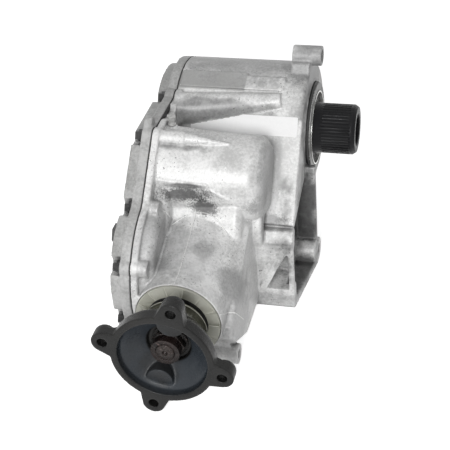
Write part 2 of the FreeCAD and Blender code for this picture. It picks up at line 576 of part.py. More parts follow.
def breather():
    """Pressed-in vent tube with a loose-fitting cap head."""
    x, y = BREATHER_XY
    stem = Part.makeCylinder(BREATHER_R, 14, V(x, y, BREATHER_SEAT_Z - 8), Z_AXIS)
    collar = Part.makeCylinder(BREATHER_R + 1, 1.5, V(x, y, BREATHER_SEAT_Z), Z_AXIS)
    cap = Part.makeCylinder(BREATHER_R + 1.3, 4, V(x, y, BREATHER_SEAT_Z + 5), Z_AXIS)
    bore = Part.makeCylinder(1.2, 12, V(x, y, BREATHER_SEAT_Z - 9), Z_AXIS)
    return fuse([stem, collar, cap]).cut(bore)


def plug(yz):
    """Threaded plug with a round collar and a hexagon, in the outer face of the cover."""
    collar = cyl_x(yz, 11.0, COVER_TOP_X - 3.6, COVER_TOP_X - 1.4)
    head = hex_x(yz, 9.5, COVER_TOP_X - 9, COVER_TOP_X - 3.5)
    thread = cyl_x(yz, PLUG_THREAD_R, COVER_TOP_X - 3.5, COVER_TOP_X + 10)
    socket = cyl_x(yz, 4.0, COVER_TOP_X - 10, COVER_TOP_X - 4)
    return fuse([collar, head, thread]).cut(socket)


def plug_washer(yz):
    return tube_x(yz, 11.5, PLUG_THREAD_R + SCREW_GAP, COVER_TOP_X - 1.4, COVER_TOP_X)


# ---- Bearings -------------------------------------------------------------------------------------------------------
def taper_bearing(spec, place):
    """Outer cup, inner cone and rollers of one bearing, with its wide end at the start of the axis."""
    bore_r, outer_r, width = spec
    tilt = math.tan(math.radians(ROLLER_TILT))
    mean_r = (bore_r + outer_r) / 2
    roller_r = (outer_r - bore_r) * 0.23
    race = roller_r / math.cos(math.radians(ROLLER_TILT))
    half = width / 2

    def ring(points):
        pts = [V(r, 0, t) for t, r in points]
        return Part.Face(Part.makePolygon(pts + [pts[0]])).revolve(V(0, 0, 0), Z_AXIS, 360)

    cup = ring([(1.5, outer_r), (width, outer_r), (width, mean_r + race + 0.2 - tilt * half),
                (1.5, mean_r + race + 0.2 + tilt * (half - 1.5))])
    cone = ring([(0, bore_r), (width - 1.5, bore_r), (width - 1.5, mean_r - race - 0.1 - tilt * (half - 1.5)),
                 (2.0, mean_r - race - 0.1 + tilt * (half - 2.0)), (0, mean_r - race - 0.1 + tilt * half)])
    length = width - 5.0
    rollers = []
    for i in range(ROLLERS):
        roller = Part.makeCylinder(roller_r, length, V(0, 0, -length / 2), Z_AXIS)
        roller.rotate(V(0, 0, 0), Y_AXIS, -ROLLER_TILT)
        roller.translate(V(mean_r, 0, half))
        roller.rotate(V(0, 0, 0), Z_AXIS, 360.0 * i / ROLLERS)
        rollers.append(roller)
    parts = [cup, cone, group(rollers)]
    for p in parts:
        p.transformShape(place)
    return parts


def along_x(yz, x, flip=False):
    """Places a bearing's axis along +X from station x, or along -X when flipped."""
    if flip:
        return FreeCAD.Matrix(0, 0, -1, x, 0, 1, 0, yz[0], 1, 0, 0, yz[1], 0, 0, 0, 1)
    return FreeCAD.Matrix(0, 0, 1, x, 0, 1, 0, yz[0], -1, 0, 0, yz[1], 0, 0, 0, 1)


def along_y(y, flip=False):
    """Places a bearing's axis along +Y from station y on the output axis, or along -Y when flipped."""
    if flip:
        return FreeCAD.Matrix(1, 0, 0, OUTPUT_X, 0, 0, -1, y, 0, 1, 0, OUTPUT_Z, 0, 0, 0, 1)
    return FreeCAD.Matrix(1, 0, 0, OUTPUT_X, 0, 0, 1, y, 0, -1, 0, OUTPUT_Z, 0, 0, 0, 1)


# ---- Gears ------------------------------------------------------------------------------------------------------------
def involute_half_angle(r, pitch_r, base_r, half_at_pitch):
    """Half the tooth's angle at radius r, for an involute flank."""
    def inv(radius):
        a = math.acos(min(1.0, base_r / radius))
        return math.tan(a) - a
    return half_at_pitch + inv(pitch_r) - inv(max(r, base_r))


def spur_gear(yz, teeth, phase, x0, x1, bore_r, web):
    """Spur gear with a tooth centred on the direction phase (degrees, +Y towards +Z)."""
    pitch_r = SPUR_MODULE * teeth / 2
    tip_r, root_r = pitch_r + SPUR_ADDENDUM, pitch_r - SPUR_DEDENDUM
    base_r = pitch_r * math.cos(math.radians(20))
    half_at_pitch = (math.pi * SPUR_MODULE / 4 - SPUR_BACKLASH) / pitch_r
    flank = [root_r, pitch_r, tip_r]
    points = []
    for i in range(teeth):
        centre = math.radians(phase) + 2 * math.pi * i / teeth
        for r in flank:
            a = centre - involute_half_angle(r, pitch_r, base_r, half_at_pitch)
            points.append((yz[0] + r * math.cos(a), yz[1] + r * math.sin(a)))
        for r in reversed(flank):
            a = centre + involute_half_angle(r, pitch_r, base_r, half_at_pitch)
            points.append((yz[0] + r * math.cos(a), yz[1] + r * math.sin(a)))
    gear = prism_x(points, x0, x1)
    tools = [cyl_x(yz, bore_r, x0 - 1, x1 + 1)]
    if web:
        rim_r, hub_r = root_r - 5, bore_r + 8
        tools += [tube_x(yz, rim_r, hub_r, x0 - 1, x0 + web), tube_x(yz, rim_r, hub_r, x1 - web, x1 + 1)]
    return cut(gear, tools)


def face_gear():
    """Ring with straight radial teeth that face the pinion."""
    r0, r1 = FACE_MEAN_R - FACE_WIDTH / 2, FACE_MEAN_R + FACE_WIDTH / 2
    tip_x = FACE_PITCH_X - FACE_ADDENDUM
    root_x = FACE_PITCH_X + FACE_DEDENDUM
    blank = cyl_x(COUNTER_YZ, r1, root_x, FACE_BACK_X)
    bore = cyl_x(COUNTER_YZ, COUNTER_R + SCREW_GAP, root_x - 1, FACE_BACK_X + 1)
    dish = cyl_x(COUNTER_YZ, r0, root_x - 1, root_x + 3)
    ring = cut(blank, [bore, dish] + [cyl_x(p, RING_BOLT_R + SCREW_GAP, root_x, FACE_BACK_X + 1)
                                      for p in ring_bolt_places()])
    pitch = 2 * math.pi * FACE_MEAN_R / FACE_TEETH
    wide = pitch * FACE_TOOTH_SHARE / 2
    slope = math.tan(math.radians(20))
    teeth = []
    contact = math.atan2(PINION_DROP, -FACE_MEAN_R * PINION_COSINE)
    for i in range(FACE_TEETH):
        a = contact + 2 * math.pi * (i + 0.5) / FACE_TEETH
        sections = []
        for r in (r0, r1):
            share = r / FACE_MEAN_R
            foot = wide * share + slope * FACE_DEDENDUM
            top = wide * share - slope * FACE_ADDENDUM
            ring_points = []
            for x, w in ((root_x + 0.5, -foot), (tip_x, -top), (tip_x, top), (root_x + 0.5, foot)):
                y = COUNTER_YZ[0] + r * math.cos(a) - w * math.sin(a)
                z = COUNTER_YZ[1] + r * math.sin(a) + w * math.cos(a)
                ring_points.append(V(x, y, z))
            sections.append(Part.makePolygon(ring_points + [ring_points[0]]))
        teeth.append(Part.makeLoft(sections, True, True))
    return fuse([ring] + teeth)


def pinion_head():
    """Helical pinion whose teeth line up with the radial teeth of the face gear."""
    pitch = 2 * math.pi * PINION_R / PINION_TEETH
    half = pitch * FACE_TOOTH_SHARE / 2 / PINION_R
    tip_r, root_r = PINION_R + FACE_ADDENDUM, PINION_R - FACE_DEDENDUM
    slope = math.tan(math.radians(20)) / PINION_R
    steps = 5
    wires = []
    for k in range(steps + 1):
        t = -PINION_HEAD_LENGTH / 2 + PINION_HEAD_LENGTH * k / steps
        points = []
        for i in range(PINION_TEETH):
            centre = 2 * math.pi * i / PINION_TEETH + PINION_TWIST * t
            for r, w in ((root_r, -half - slope * FACE_DEDENDUM), (tip_r, -half + slope * FACE_ADDENDUM),
                         (tip_r, half - slope * FACE_ADDENDUM), (root_r, half + slope * FACE_DEDENDUM)):
                a = centre + w
                points.append(V(OUTPUT_X + r * math.cos(a), PINION_Y + t, OUTPUT_Z - r * math.sin(a)))
        wires.append(Part.makePolygon(points + [points[0]]))
    return Part.makeLoft(wires, True, True)


# ---- Shafts --------------------------------------------------------------------------------------------------------------
def ring_bolt_places():
    return [(COUNTER_YZ[0] + RING_BOLT_PITCH_R * math.cos(2 * math.pi * i / RING_BOLTS),
             COUNTER_YZ[1] + RING_BOLT_PITCH_R * math.sin(2 * math.pi * i / RING_BOLTS)) for i in range(RING_BOLTS)]


def input_sleeve():
    """Hollow splined sleeve that the half-shaft passes through."""
    blank = revolve_x(INPUT_YZ, [
        (SLEEVE_TAIL_X, SLEEVE_BORE_R), (SLEEVE_TAIL_X, SLEEVE_TAIL_R), (SPUR_X0 - 1, SLEEVE_TAIL_R),
        (SPUR_X0 - 1, INPUT_SEAT_R + 2), (SPUR_X1 + 3, INPUT_SEAT_R + 2), (SPUR_X1 + 3, INPUT_SEAT_R + 4),
        (SPUR_X1 + 8, INPUT_SEAT_R + 4), (SPUR_X1 + 8, INPUT_SEAT_R + 1), (INPUT_INNER_X - 1, INPUT_SEAT_R + 1),
        (INPUT_INNER_X - 1, INPUT_SEAT_R), (INPUT_INNER_X + INPUT_INNER[2] + 3, INPUT_SEAT_R),
        (INPUT_INNER_X + INPUT_INNER[2] + 3, SEAL_LAND_R), (SPLINE_START_X, SEAL_LAND_R),
        (SPLINE_START_X + 0.5, SPLINE_R), (SLEEVE_END_X - 3, SPLINE_R), (SLEEVE_END_X, SPLINE_R - 2.2),
        (SLEEVE_END_X, SLEEVE_BORE_R + 1), (SLEEVE_END_X - 1, SLEEVE_BORE_R)])
    grooves = []
    for i in range(SPLINE_COUNT):
        a = 2 * math.pi * i / SPLINE_COUNT
        half = math.pi / SPLINE_COUNT
        pts = []
        for r, w in ((SPLINE_R - SPLINE_DEPTH, -0.22), (SPLINE_R + 1, -0.72), (SPLINE_R + 1, 0.72),
                     (SPLINE_R - SPLINE_DEPTH, 0.22)):
            pts.append((r * math.cos(a + w * half), r * math.sin(a + w * half)))
        grooves.append(prism_x(pts, SPLINE_START_X + 4, SLEEVE_END_X - 5.5))
    return cut(blank, grooves)


def counter_shaft():
    left, right = COVER_BEARING_X + 0.5, COUNTER_CASE_X + COUNTER_CASE[2] - 0.5
    seat, far_seat = COUNTER_COVER[0], COUNTER_CASE[0]
    body = revolve_x(COUNTER_YZ, [
        (left, 0), (left, seat - 1), (left + 1, seat), (COVER_BEARING_X + COUNTER_COVER[2] + 0.5, seat),
        (COVER_BEARING_X + COUNTER_COVER[2] + 0.5, COUNTER_R), (SPUR_X1, COUNTER_R), (SPUR_X1, COUNTER_R + 3),
        (SPUR_X1 + 5, COUNTER_R + 3), (SPUR_X1 + 5, COUNTER_R), (FACE_BACK_X, COUNTER_R), (FACE_BACK_X, CARRIER_R),
        (COUNTER_CASE_X - 1, CARRIER_R), (COUNTER_CASE_X - 1, COUNTER_R + 2), (COUNTER_CASE_X, COUNTER_R + 2),
        (COUNTER_CASE_X, far_seat), (right - 1, far_seat), (right, far_seat - 1), (right, 0)])
    holes = [cyl_x(p, RING_BOLT_R + SCREW_GAP, FACE_BACK_X - 1, COUNTER_CASE_X + 1) for p in ring_bolt_places()]
    return cut(body, holes)


def ring_gear_bolts():
    seat = FACE_PITCH_X + FACE_DEDENDUM + 3
    bolts = []
    for p in ring_bolt_places():
        head = hex_x(p, 5.0, seat - 3.5, seat)
        shank = cyl_x(p, RING_BOLT_R, seat - 0.1, COUNTER_CASE_X - 1.2)
        bolts.append(fuse([head, shank]))
    return group(bolts)


def pinion_shaft():
    head_front = PINION_Y - PINION_HEAD_LENGTH / 2
    shoulder = PINION_HEAD_Y + PINION_HEAD[2]
    stem = revolve_y([
        (head_front + 0.5, 0), (head_front + 0.5, PINION_HEAD[0] + 1), (shoulder, PINION_HEAD[0] + 1),
        (shoulder, PINION_HEAD[0]), (PINION_TAIL_Y + PINION_TAIL[2] + 0.2, PINION_HEAD[0]),
        (PINION_TAIL_Y + PINION_TAIL[2] + 0.2, PINION_TAIL[0]),
        (PINION_TAIL_Y, PINION_TAIL[0]), (PINION_TAIL_Y, HUB_BORE_R - SCREW_GAP),
        (NUT_SEAT_Y + 1, HUB_BORE_R - SCREW_GAP), (NUT_SEAT_Y + 1, THREAD_R), (SHAFT_END_Y + 1, THREAD_R),
        (SHAFT_END_Y, THREAD_R - 1), (SHAFT_END_Y, 2.5), (SHAFT_END_Y + 4, 0)])
    return fuse([pinion_head(), stem])


def pinion_nut():
    """Hexagon nut with a round staking crown."""
    points = []
    for i in range(6):
        a = math.radians(60 * i)
        points.append(V(OUTPUT_X + NUT_R * math.cos(a), NUT_SEAT_Y, OUTPUT_Z + NUT_R * math.sin(a)))
    hexagon = polygon_solid(points, V(0, -8, 0))
    seat = cyl_y(NUT_R + 1, NUT_SEAT_Y - 2, NUT_SEAT_Y)
    crown = cyl_y(NUT_CROWN_R, NUT_SEAT_Y - 15.5, NUT_SEAT_Y - 7)
    return cut(fuse([hexagon, seat, crown]), [cyl_y(THREAD_R + SCREW_GAP, NUT_SEAT_Y - 20, NUT_SEAT_Y + 1)])


def output_flange():
    """Bowl-shaped coupling flange with four ears and a splined hub."""
    back = FLANGE_FRONT_Y
    bowl_wall = cyl_y(FLANGE_BOWL_R + 1, EAR_BUMP_Y, EAR_BUMP_END_Y)
    body = revolve_y([
        (PINION_TAIL_Y - 0.5, HUB_BORE_R), (PINION_TAIL_Y - 0.5, HUB_R - 1), (PINION_TAIL_Y - 1.5, HUB_R),
        (-224, HUB_R), (-228, HUB_R + 4), (-238, 34), (-248, FLANGE_R - 2), (-252, FLANGE_R),
        (back, FLANGE_R), (back, FLANGE_BOWL_R), (-256, FLANGE_BOWL_R - 1), (-248, 28), (-241, NUT_POCKET_R + 1),
        (-240, NUT_POCKET_R), (NUT_SEAT_Y, NUT_POCKET_R), (NUT_SEAT_Y, HUB_BORE_R)])
    ears, holes = [], []
    for i in range(FLANGE_EARS):
        a = math.radians(FLANGE_EAR_ANGLE + 360 / FLANGE_EARS * i)
        centre = (OUTPUT_X + FLANGE_PITCH_R * math.cos(a), OUTPUT_Z + FLANGE_PITCH_R * math.sin(a))
        root = (OUTPUT_X + 30 * math.cos(a), OUTPUT_Z + 30 * math.sin(a))
        slab = belt_y(root, 15, centre, FLANGE_EAR_R, FLANGE_FRONT_Y + FLANGE_EAR_DEPTH, FLANGE_FRONT_Y)
        slab = slab.cut(cyl_y(FLANGE_BOWL_R, FLANGE_FRONT_Y - 1, FLANGE_FRONT_Y + FLANGE_EAR_DEPTH + 1))
        knob = cyl_y(FLANGE_EAR_R, FLANGE_FRONT_Y, FLANGE_FRONT_Y + 16, centre[0], centre[1])
        rim = [e for e in knob.Edges if abs(e.BoundBox.YMin - FLANGE_FRONT_Y - 16) < 0.01]
        bump_place = (OUTPUT_X + EAR_BUMP_PITCH_R * math.cos(a), OUTPUT_Z + EAR_BUMP_PITCH_R * math.sin(a))
        bump = cyl_y(EAR_BUMP_R, EAR_BUMP_Y, EAR_BUMP_END_Y, bump_place[0], bump_place[1]).common(bowl_wall)
        ears += [slab, knob.makeFillet(6, rim)] + ([bump] if i % 2 == 0 else [])
        holes.append(cyl_y(FLANGE_EAR_HOLE_R, FLANGE_FRONT_Y - 1, FLANGE_FRONT_Y + 20, centre[0], centre[1]))
    return cut(fuse([body] + ears), holes)


# ---- Seals and rings -----------------------------------------------------------------------------------------------------------
def input_seal_case():
    return revolve_x(INPUT_YZ, [(INPUT_SEAL_X + 2, INPUT_SEAL_R), (0.6, INPUT_SEAL_R), (0.6, INPUT_SEAL_R - 1.2),
                                (INPUT_SEAL_X + 3.2, INPUT_SEAL_R - 1.2), (INPUT_SEAL_X + 3.2, INPUT_SEAL_R - 5),
                                (INPUT_SEAL_X + 2, INPUT_SEAL_R - 5)])


def input_seal_lip():
    land = SEAL_LAND_R + 0.05
    return revolve_x(INPUT_YZ, [(INPUT_SEAL_X + 3.2, INPUT_SEAL_R - 1.2), (-2.5, INPUT_SEAL_R - 1.2),
                                (-3.5, land + 4), (-1.0, land + 0.5), (-1.8, land), (-4, land + 2.2),
                                (-6, land + 2.2), (-7.6, land), (INPUT_SEAL_X + 3.2, land + 1.6)])


def pilot_o_ring():
    """O-ring, its section a twelve-sided round."""
    section = []
    for i in range(12):
        a = math.radians(30 * i)
        section.append((O_RING_X + O_RING_R * math.cos(a), O_RING_MEAN_R + O_RING_R * math.sin(a)))
    return revolve_x(INPUT_YZ, section)


def halfshaft_seal():
    return revolve_x(INPUT_YZ, [(COVER_TOP_X - 6.2, HALFSHAFT_SEAL_R), (COVER_TOP_X + 1, HALFSHAFT_SEAL_R),
                                (COVER_TOP_X + 1, 19), (COVER_TOP_X - 1, 15.2), (COVER_TOP_X - 3, 18), (COVER_TOP_X - 5, 16),
                                (COVER_TOP_X - 6.2, 20)])


def pinion_seal():
    return revolve_y([(PINION_TAIL_Y - 1, PINION_TAIL[1]), (COLLAR_Y + 1, PINION_TAIL[1]), (COLLAR_Y + 1, HUB_R + 4),
                      (COLLAR_Y + 3, HUB_R + 2), (COLLAR_Y + 3.5, HUB_R + 0.05), (COLLAR_Y + 5, HUB_R + 2.5),
                      (PINION_TAIL_Y - 2.5, HUB_R + 2.5), (PINION_TAIL_Y - 1, HUB_R + 4)])


def pinion_collar():
    """Retaining collar with raised radial spokes on its face."""
    inner = PINION_TAIL[1] + RUN_GAP
    ring = tube_y(COLLAR_R, inner, COLLAR_Y, COLLAR_Y + COLLAR_THICK)
    spokes = []
    for i in range(14):
        rib = box(inner + 0.5, COLLAR_R - 0.8, COLLAR_Y - 0.5, COLLAR_Y + 0.5, -0.35, 0.35)
        rib.rotate(V(0, 0, 0), Y_AXIS, 360.0 * i / 14)
        rib.translate(V(OUTPUT_X, 0, OUTPUT_Z))
        spokes.append(rib)
    return fuse([ring] + spokes)


def dust_slinger():
    return revolve_y([(-217, HUB_R), (-217, 25), (-220, 27), (-221, 27), (-218.2, 24), (-221, HUB_R)])


def crush_spacer():
    """Thin tube between the two pinion bearings, with a bead that yields when the nut is tightened."""
    front, back = PINION_TAIL_Y + PINION_TAIL[2], PINION_HEAD_Y - 0.2
    mid, bead = (front + back) / 2, 2.5
    bore, outside = PINION_HEAD[0] + SCREW_GAP, PINION_HEAD[0] + 2.4
    return revolve_y([(back, bore), (back, outside), (mid + bead, outside), (mid, outside + bead),
                      (mid - bead, outside), (front + 0.2, outside), (front + 0.2, bore),
                      (mid - bead, bore), (mid, bore + bead), (mid + bead, bore)])


def snap_ring(yz, r, x):
    ring = tube_x(yz, r + 3, r, x, x + 1.8)
    return ring.cut(box(x - 1, x + 3, yz[0] - 2.5, yz[0] + 2.5, yz[1], yz[1] + r + 5))


# ---- Build ---------------------------------------------------------------------------------------------------------------------------
def build():
    export("main_case", main_case())
    export("side_cover", side_cover())
    export("cover_gasket", cover_gasket())
    export("cover_bolts", cover_bolts())
    export("fill_plug", plug(FILL_PLUG_YZ))
    export("fill_plug_washer", plug_washer(FILL_PLUG_YZ))
    export("dowel_pins", dowel_pins())
    export("breather", breather())
    export("drain_plug", plug(DRAIN_PLUG_YZ))
    export("drain_plug_washer", plug_washer(DRAIN_PLUG_YZ))
    export("input_seal_case", input_seal_case())
    export("input_seal_lip", input_seal_lip())
    export("pilot_o_ring", pilot_o_ring())
    export("halfshaft_seal", halfshaft_seal())
    export("pinion_seal", pinion_seal())
    export("pinion_collar", pinion_collar())
    export("dust_slinger", dust_slinger())
    export("crush_spacer", crush_spacer())
    bearings = {
        "input_bearing": (INPUT_INNER, along_x(INPUT_YZ, INPUT_INNER_X + INPUT_INNER[2], True)),
        "input_cover_bearing": (INPUT_COVER, along_x(INPUT_YZ, COVER_BEARING_X)),
        "counter_case_bearing": (COUNTER_CASE, along_x(COUNTER_YZ, COUNTER_CASE_X + COUNTER_CASE[2], True)),
        "counter_cover_bearing": (COUNTER_COVER, along_x(COUNTER_YZ, COVER_BEARING_X)),
        "pinion_head_bearing": (PINION_HEAD, along_y(PINION_HEAD_Y + PINION_HEAD[2], True)),
        "pinion_tail_bearing": (PINION_TAIL, along_y(PINION_TAIL_Y)),
    }
    for name, (spec, place) in bearings.items():
        cup, cone, rollers = taper_bearing(spec, place)
        export(name + "_cup", cup)
        export(name + "_cone", cone)
        export(name + "_rollers", rollers)
    export("input_sleeve", input_sleeve())
    export("input_gear", spur_gear(INPUT_YZ, INPUT_TEETH, COUNTER_ANGLE, SPUR_X0, SPUR_X1, INPUT_SEAT_R + 2, 0))
    gap_phase = COUNTER_ANGLE + 180 + 180.0 / DRIVEN_TEETH
    export("driven_gear", spur_gear(COUNTER_YZ, DRIVEN_TEETH, gap_phase, SPUR_X0, SPUR_X1, COUNTER_R, 3.0))
    export("counter_shaft", counter_shaft())
    export("ring_gear", face_gear())
    export("ring_gear_bolts", ring_gear_bolts())
    export("pinion_shaft", pinion_shaft())
    export("output_flange", output_flange())
    export("pinion_nut", pinion_nut())
    export("input_snap_ring", snap_ring(INPUT_YZ, SLEEVE_TAIL_R, SPUR_X0 - 3.0))


build()
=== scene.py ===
"""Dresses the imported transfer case: castings, machined parts, label, light and camera."""
import logging
import math
from dataclasses import dataclass, field
from enum import Enum
from typing import Callable

import bmesh
import bpy
from mathutils import Matrix, Vector
from mathutils.bvhtree import BVHTree


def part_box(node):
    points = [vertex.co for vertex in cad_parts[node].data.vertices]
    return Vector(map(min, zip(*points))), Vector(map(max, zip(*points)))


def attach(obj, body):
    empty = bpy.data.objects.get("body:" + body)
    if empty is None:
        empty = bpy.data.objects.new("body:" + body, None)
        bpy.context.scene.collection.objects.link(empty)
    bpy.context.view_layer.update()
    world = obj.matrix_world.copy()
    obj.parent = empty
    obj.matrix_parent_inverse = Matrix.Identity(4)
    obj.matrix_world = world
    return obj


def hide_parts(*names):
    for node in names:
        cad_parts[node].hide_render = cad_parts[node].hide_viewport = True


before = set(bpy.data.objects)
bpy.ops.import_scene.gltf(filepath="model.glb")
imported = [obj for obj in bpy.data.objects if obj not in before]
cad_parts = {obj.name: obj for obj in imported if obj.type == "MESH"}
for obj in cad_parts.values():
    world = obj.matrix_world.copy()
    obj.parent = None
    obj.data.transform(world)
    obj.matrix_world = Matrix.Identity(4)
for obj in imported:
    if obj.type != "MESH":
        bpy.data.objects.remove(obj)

logging.basicConfig(level=logging.INFO, format="%(levelname)s %(message)s")
LOG = logging.getLogger("transfer_case")
MM = 0.001
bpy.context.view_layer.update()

Triple = tuple[float, float, float]
Pair = tuple[float, float]
Colour = tuple[float, float, float]
Socket = bpy.types.NodeSocket


class Body(Enum):
    """The bodies that pieces ride on, by the name they have in the record."""

    CASE = "case_body"
    INPUT = "input_shaft"
    OUTPUT = "output_shaft"


@dataclass(frozen=True)
class Axes:
    """Axes and planes of the object that pieces and finishes refer to, in metres."""

    output_x: float
    output_z: float
    base: float
    deck_distance: float = 60.5 * MM
    deck_angle: float = math.radians(144.0)

    @classmethod
    def from_frame(cls) -> "Axes":
        """Reads the output axis from the flange's box and the base from the casting's."""
        low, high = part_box("output_flange")
        return cls(output_x=(low.x + high.x) / 2, output_z=(low.z + high.z) / 2,
                   base=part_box("main_case")[0].z)

    def deck_point(self, x: float, down: float, lift: float = 0.0) -> Vector:
        """A point of the sloping deck.

        Args:
            x: Station along the input axis.
            down: Distance down the slope from the line where the deck leaves the input barrel.
            lift: Height above the deck.

        Returns:
            The point in the frame that all pieces share.
        """
        c, s = math.cos(self.deck_angle), math.sin(self.deck_angle)
        r = self.deck_distance + lift
        return Vector((x, r * c - down * s, r * s + down * c))


AXES = Axes.from_frame()


# ---- Shader kit ----
# The Mix node's colour sockets share their names with its float ones, so they go by number.
MIX_FACTOR, MIX_FIRST, MIX_SECOND, MIX_RESULT = 0, 6, 7, 2


@dataclass(frozen=True)
class Noise:
    """A layer of fractal noise: its scale per metre, and the part of its range that is used."""

    scale: float
    detail: float
    rough: float
    low: float = 0.0
    high: float = 1.0
    amount: float = 1.0


class Nodes:
    """Short forms for building a shader node tree."""

    def __init__(self, tree: bpy.types.NodeTree) -> None:
        """Keeps the tree that nodes go into."""
        self.tree = tree

    def add(self, kind: str, **values: object) -> bpy.types.Node:
        """Adds a node.

        Args:
            kind: The node's type, without its ShaderNode prefix.
            values: Node properties, or input values where the name starts with in_.

        Returns:
            The new node.
        """
        node = self.tree.nodes.new(kind if kind.startswith("Node") else "ShaderNode" + kind)
        for key, value in values.items():
            if key.startswith("in_"):
                node.inputs[key[3:].replace("_", " ")].default_value = value
            else:
                setattr(node, key, value)
        return node

    def group(self, tree: bpy.types.ShaderNodeTree) -> bpy.types.Node:
        """Adds a node that runs a shared group."""
        node = self.add("Group")
        node.node_tree = tree
        return node

    def wire(self, start: Socket, end: Socket) -> None:
        """Links two sockets."""
        self.tree.links.new(start, end)

    def noise(self, vector: Socket, layer: Noise) -> Socket:
        """Fractal noise over its whole range.

        Args:
            vector: Where it is read.
            layer: The noise.

        Returns:
            A value from 0 to 1.
        """
        node = self.add("TexNoise", in_Scale=layer.scale, in_Detail=layer.detail,
                        in_Roughness=layer.rough)
        self.wire(vector, node.inputs["Vector"])
        return node.outputs["Fac"]

    def layer(self, vector: Socket, layer: Noise) -> Socket:
        """The used part of a noise layer's range, stretched from 0 to the layer's amount."""
        return self.ramp(self.noise(vector, layer), layer.low, layer.high, 0.0, layer.amount)

    def ramp(self, value: Socket, low: float, high: float, to_low: float = 0.0,
             to_high: float = 1.0) -> Socket:
        """Maps one range to another, clamped and smooth.

        Args:
            value: What is mapped.
            low: Value that gives to_low.
            high: Value that gives to_high.
            to_low: Result at low and beyond it.
            to_high: Result at high and beyond it.

        Returns:
            The mapped value.
        """
        node = self.add("MapRange", interpolation_type="SMOOTHSTEP")
        for name, number in (("From Min", low), ("From Max", high),
                             ("To Min", to_low), ("To Max", to_high)):
            node.inputs[name].default_value = number
        self.wire(value, node.inputs["Value"])
        return node.outputs["Result"]

    def math(self, operation: str, first: "Socket | float",
             second: "Socket | float | None" = None) -> Socket:
        """Applies a math operation.

        Args:
            operation: The operation's name.
            first: Its first value.
            second: Its second value, where it takes one.

        Returns:
            The result.
        """
        node = self.add("Math", operation=operation)
        for index, item in enumerate((first, second)):
            if isinstance(item, bpy.types.NodeSocket):
                self.wire(item, node.inputs[index])
            elif item is not None:
                node.inputs[index].default_value = item
        return node.outputs[0]

    def blend(self, first: Socket, second: Socket, share: float) -> Socket:
        """Weighted mean of two values, where the share is the weight of the first."""
        return self.math("ADD", self.math("MULTIPLY", first, share),
                         self.math("MULTIPLY", second, 1.0 - share))

    def mix(self, factor: "Socket | float", first: "Socket | Colour",
            second: "Socket | Colour") -> Socket:
        """Mixes two colours.

        Args:
            factor: Share of the second colour.
            first: The colour at 0.
            second: The colour at 1.

        Returns:
            The mixed colour.
        """
        node = self.add("Mix", data_type="RGBA")
        for index, item in ((MIX_FACTOR, factor), (MIX_FIRST, first), (MIX_SECOND, second)):
            if isinstance(item, bpy.types.NodeSocket):
                self.wire(item, node.inputs[index])
            elif isinstance(item, tuple):
                node.inputs[index].default_value = (*item, 1.0)
            else:
                node.inputs[index].default_value = item
        return node.outputs[MIX_RESULT]


BROAD = Noise(28.0, 5.0, 0.6)
FINE = Noise(420.0, 3.0, 0.65)
GRIT = Noise(1500.0, 2.0, 0.6)
SPECK_CELLS = Noise(520.0, 2.0, 0.75, 0.62, 0.70)
SPECK_CLUSTERS = Noise(34.0, 3.0, 0.55, 0.42, 0.62)
STAINS = Noise(13.0, 6.0, 0.7, 0.52, 0.74)
COARSER_SHARE = 0.6                 # weight of the coarser of two noises that are blended
BLOTCH_RANGE = (0.36, 0.64)


def cast_skin_group() -> bpy.types.ShaderNodeTree:
    """Shared effect of a cast skin: blotches, dark specks, stains and fine relief.

    Returns:
        A node group with Blotch, Specks, Stain and Height outputs.
    """
    tree = bpy.data.node_groups.new("cast_skin", "ShaderNodeTree")
    io = tree.interface
    io.new_socket("Vector", in_out="INPUT", socket_type="NodeSocketVector")
    io.new_socket("Grain", in_out="INPUT", socket_type="NodeSocketFloat").default_value = 1.0
    for name in ("Blotch", "Specks", "Stain", "Height"):
        io.new_socket(name, in_out="OUTPUT", socket_type="NodeSocketFloat")
    kit = Nodes(tree)
    source = kit.add("NodeGroupInput")
    sink = kit.add("NodeGroupOutput")
    scaled = kit.add("VectorMath", operation="SCALE")
    kit.wire(source.outputs["Vector"], scaled.inputs[0])
    kit.wire(source.outputs["Grain"], scaled.inputs["Scale"])
    at = scaled.outputs[0]
    fine = kit.noise(at, FINE)
    blotch = kit.ramp(kit.blend(kit.noise(at, BROAD), fine, COARSER_SHARE), *BLOTCH_RANGE)
    specks = kit.math("MULTIPLY", kit.layer(at, SPECK_CELLS), kit.layer(at, SPECK_CLUSTERS))
    height = kit.blend(fine, kit.noise(at, GRIT), COARSER_SHARE)
    kit.wire(blotch, sink.inputs["Blotch"])
    kit.wire(specks, sink.inputs["Specks"])
    kit.wire(kit.layer(at, STAINS), sink.inputs["Stain"])
    kit.wire(height, sink.inputs["Height"])
    return tree


PATCH_RIM, PATCH_CORE = 1.75, 0.95  # reach where a patch ends, and where it is full
PATCH_EDGE = Noise(55.0, 5.0, 0.6, 0.3, 0.7, 0.6)
PATCH_SPECKLE = Noise(700.0, 3.0, 0.6, 0.35, 0.65, 0.45)
PATCH_SPREAD = (0.75, 1.3)          # a patch's darkest and lightest tone, as shares of its tone


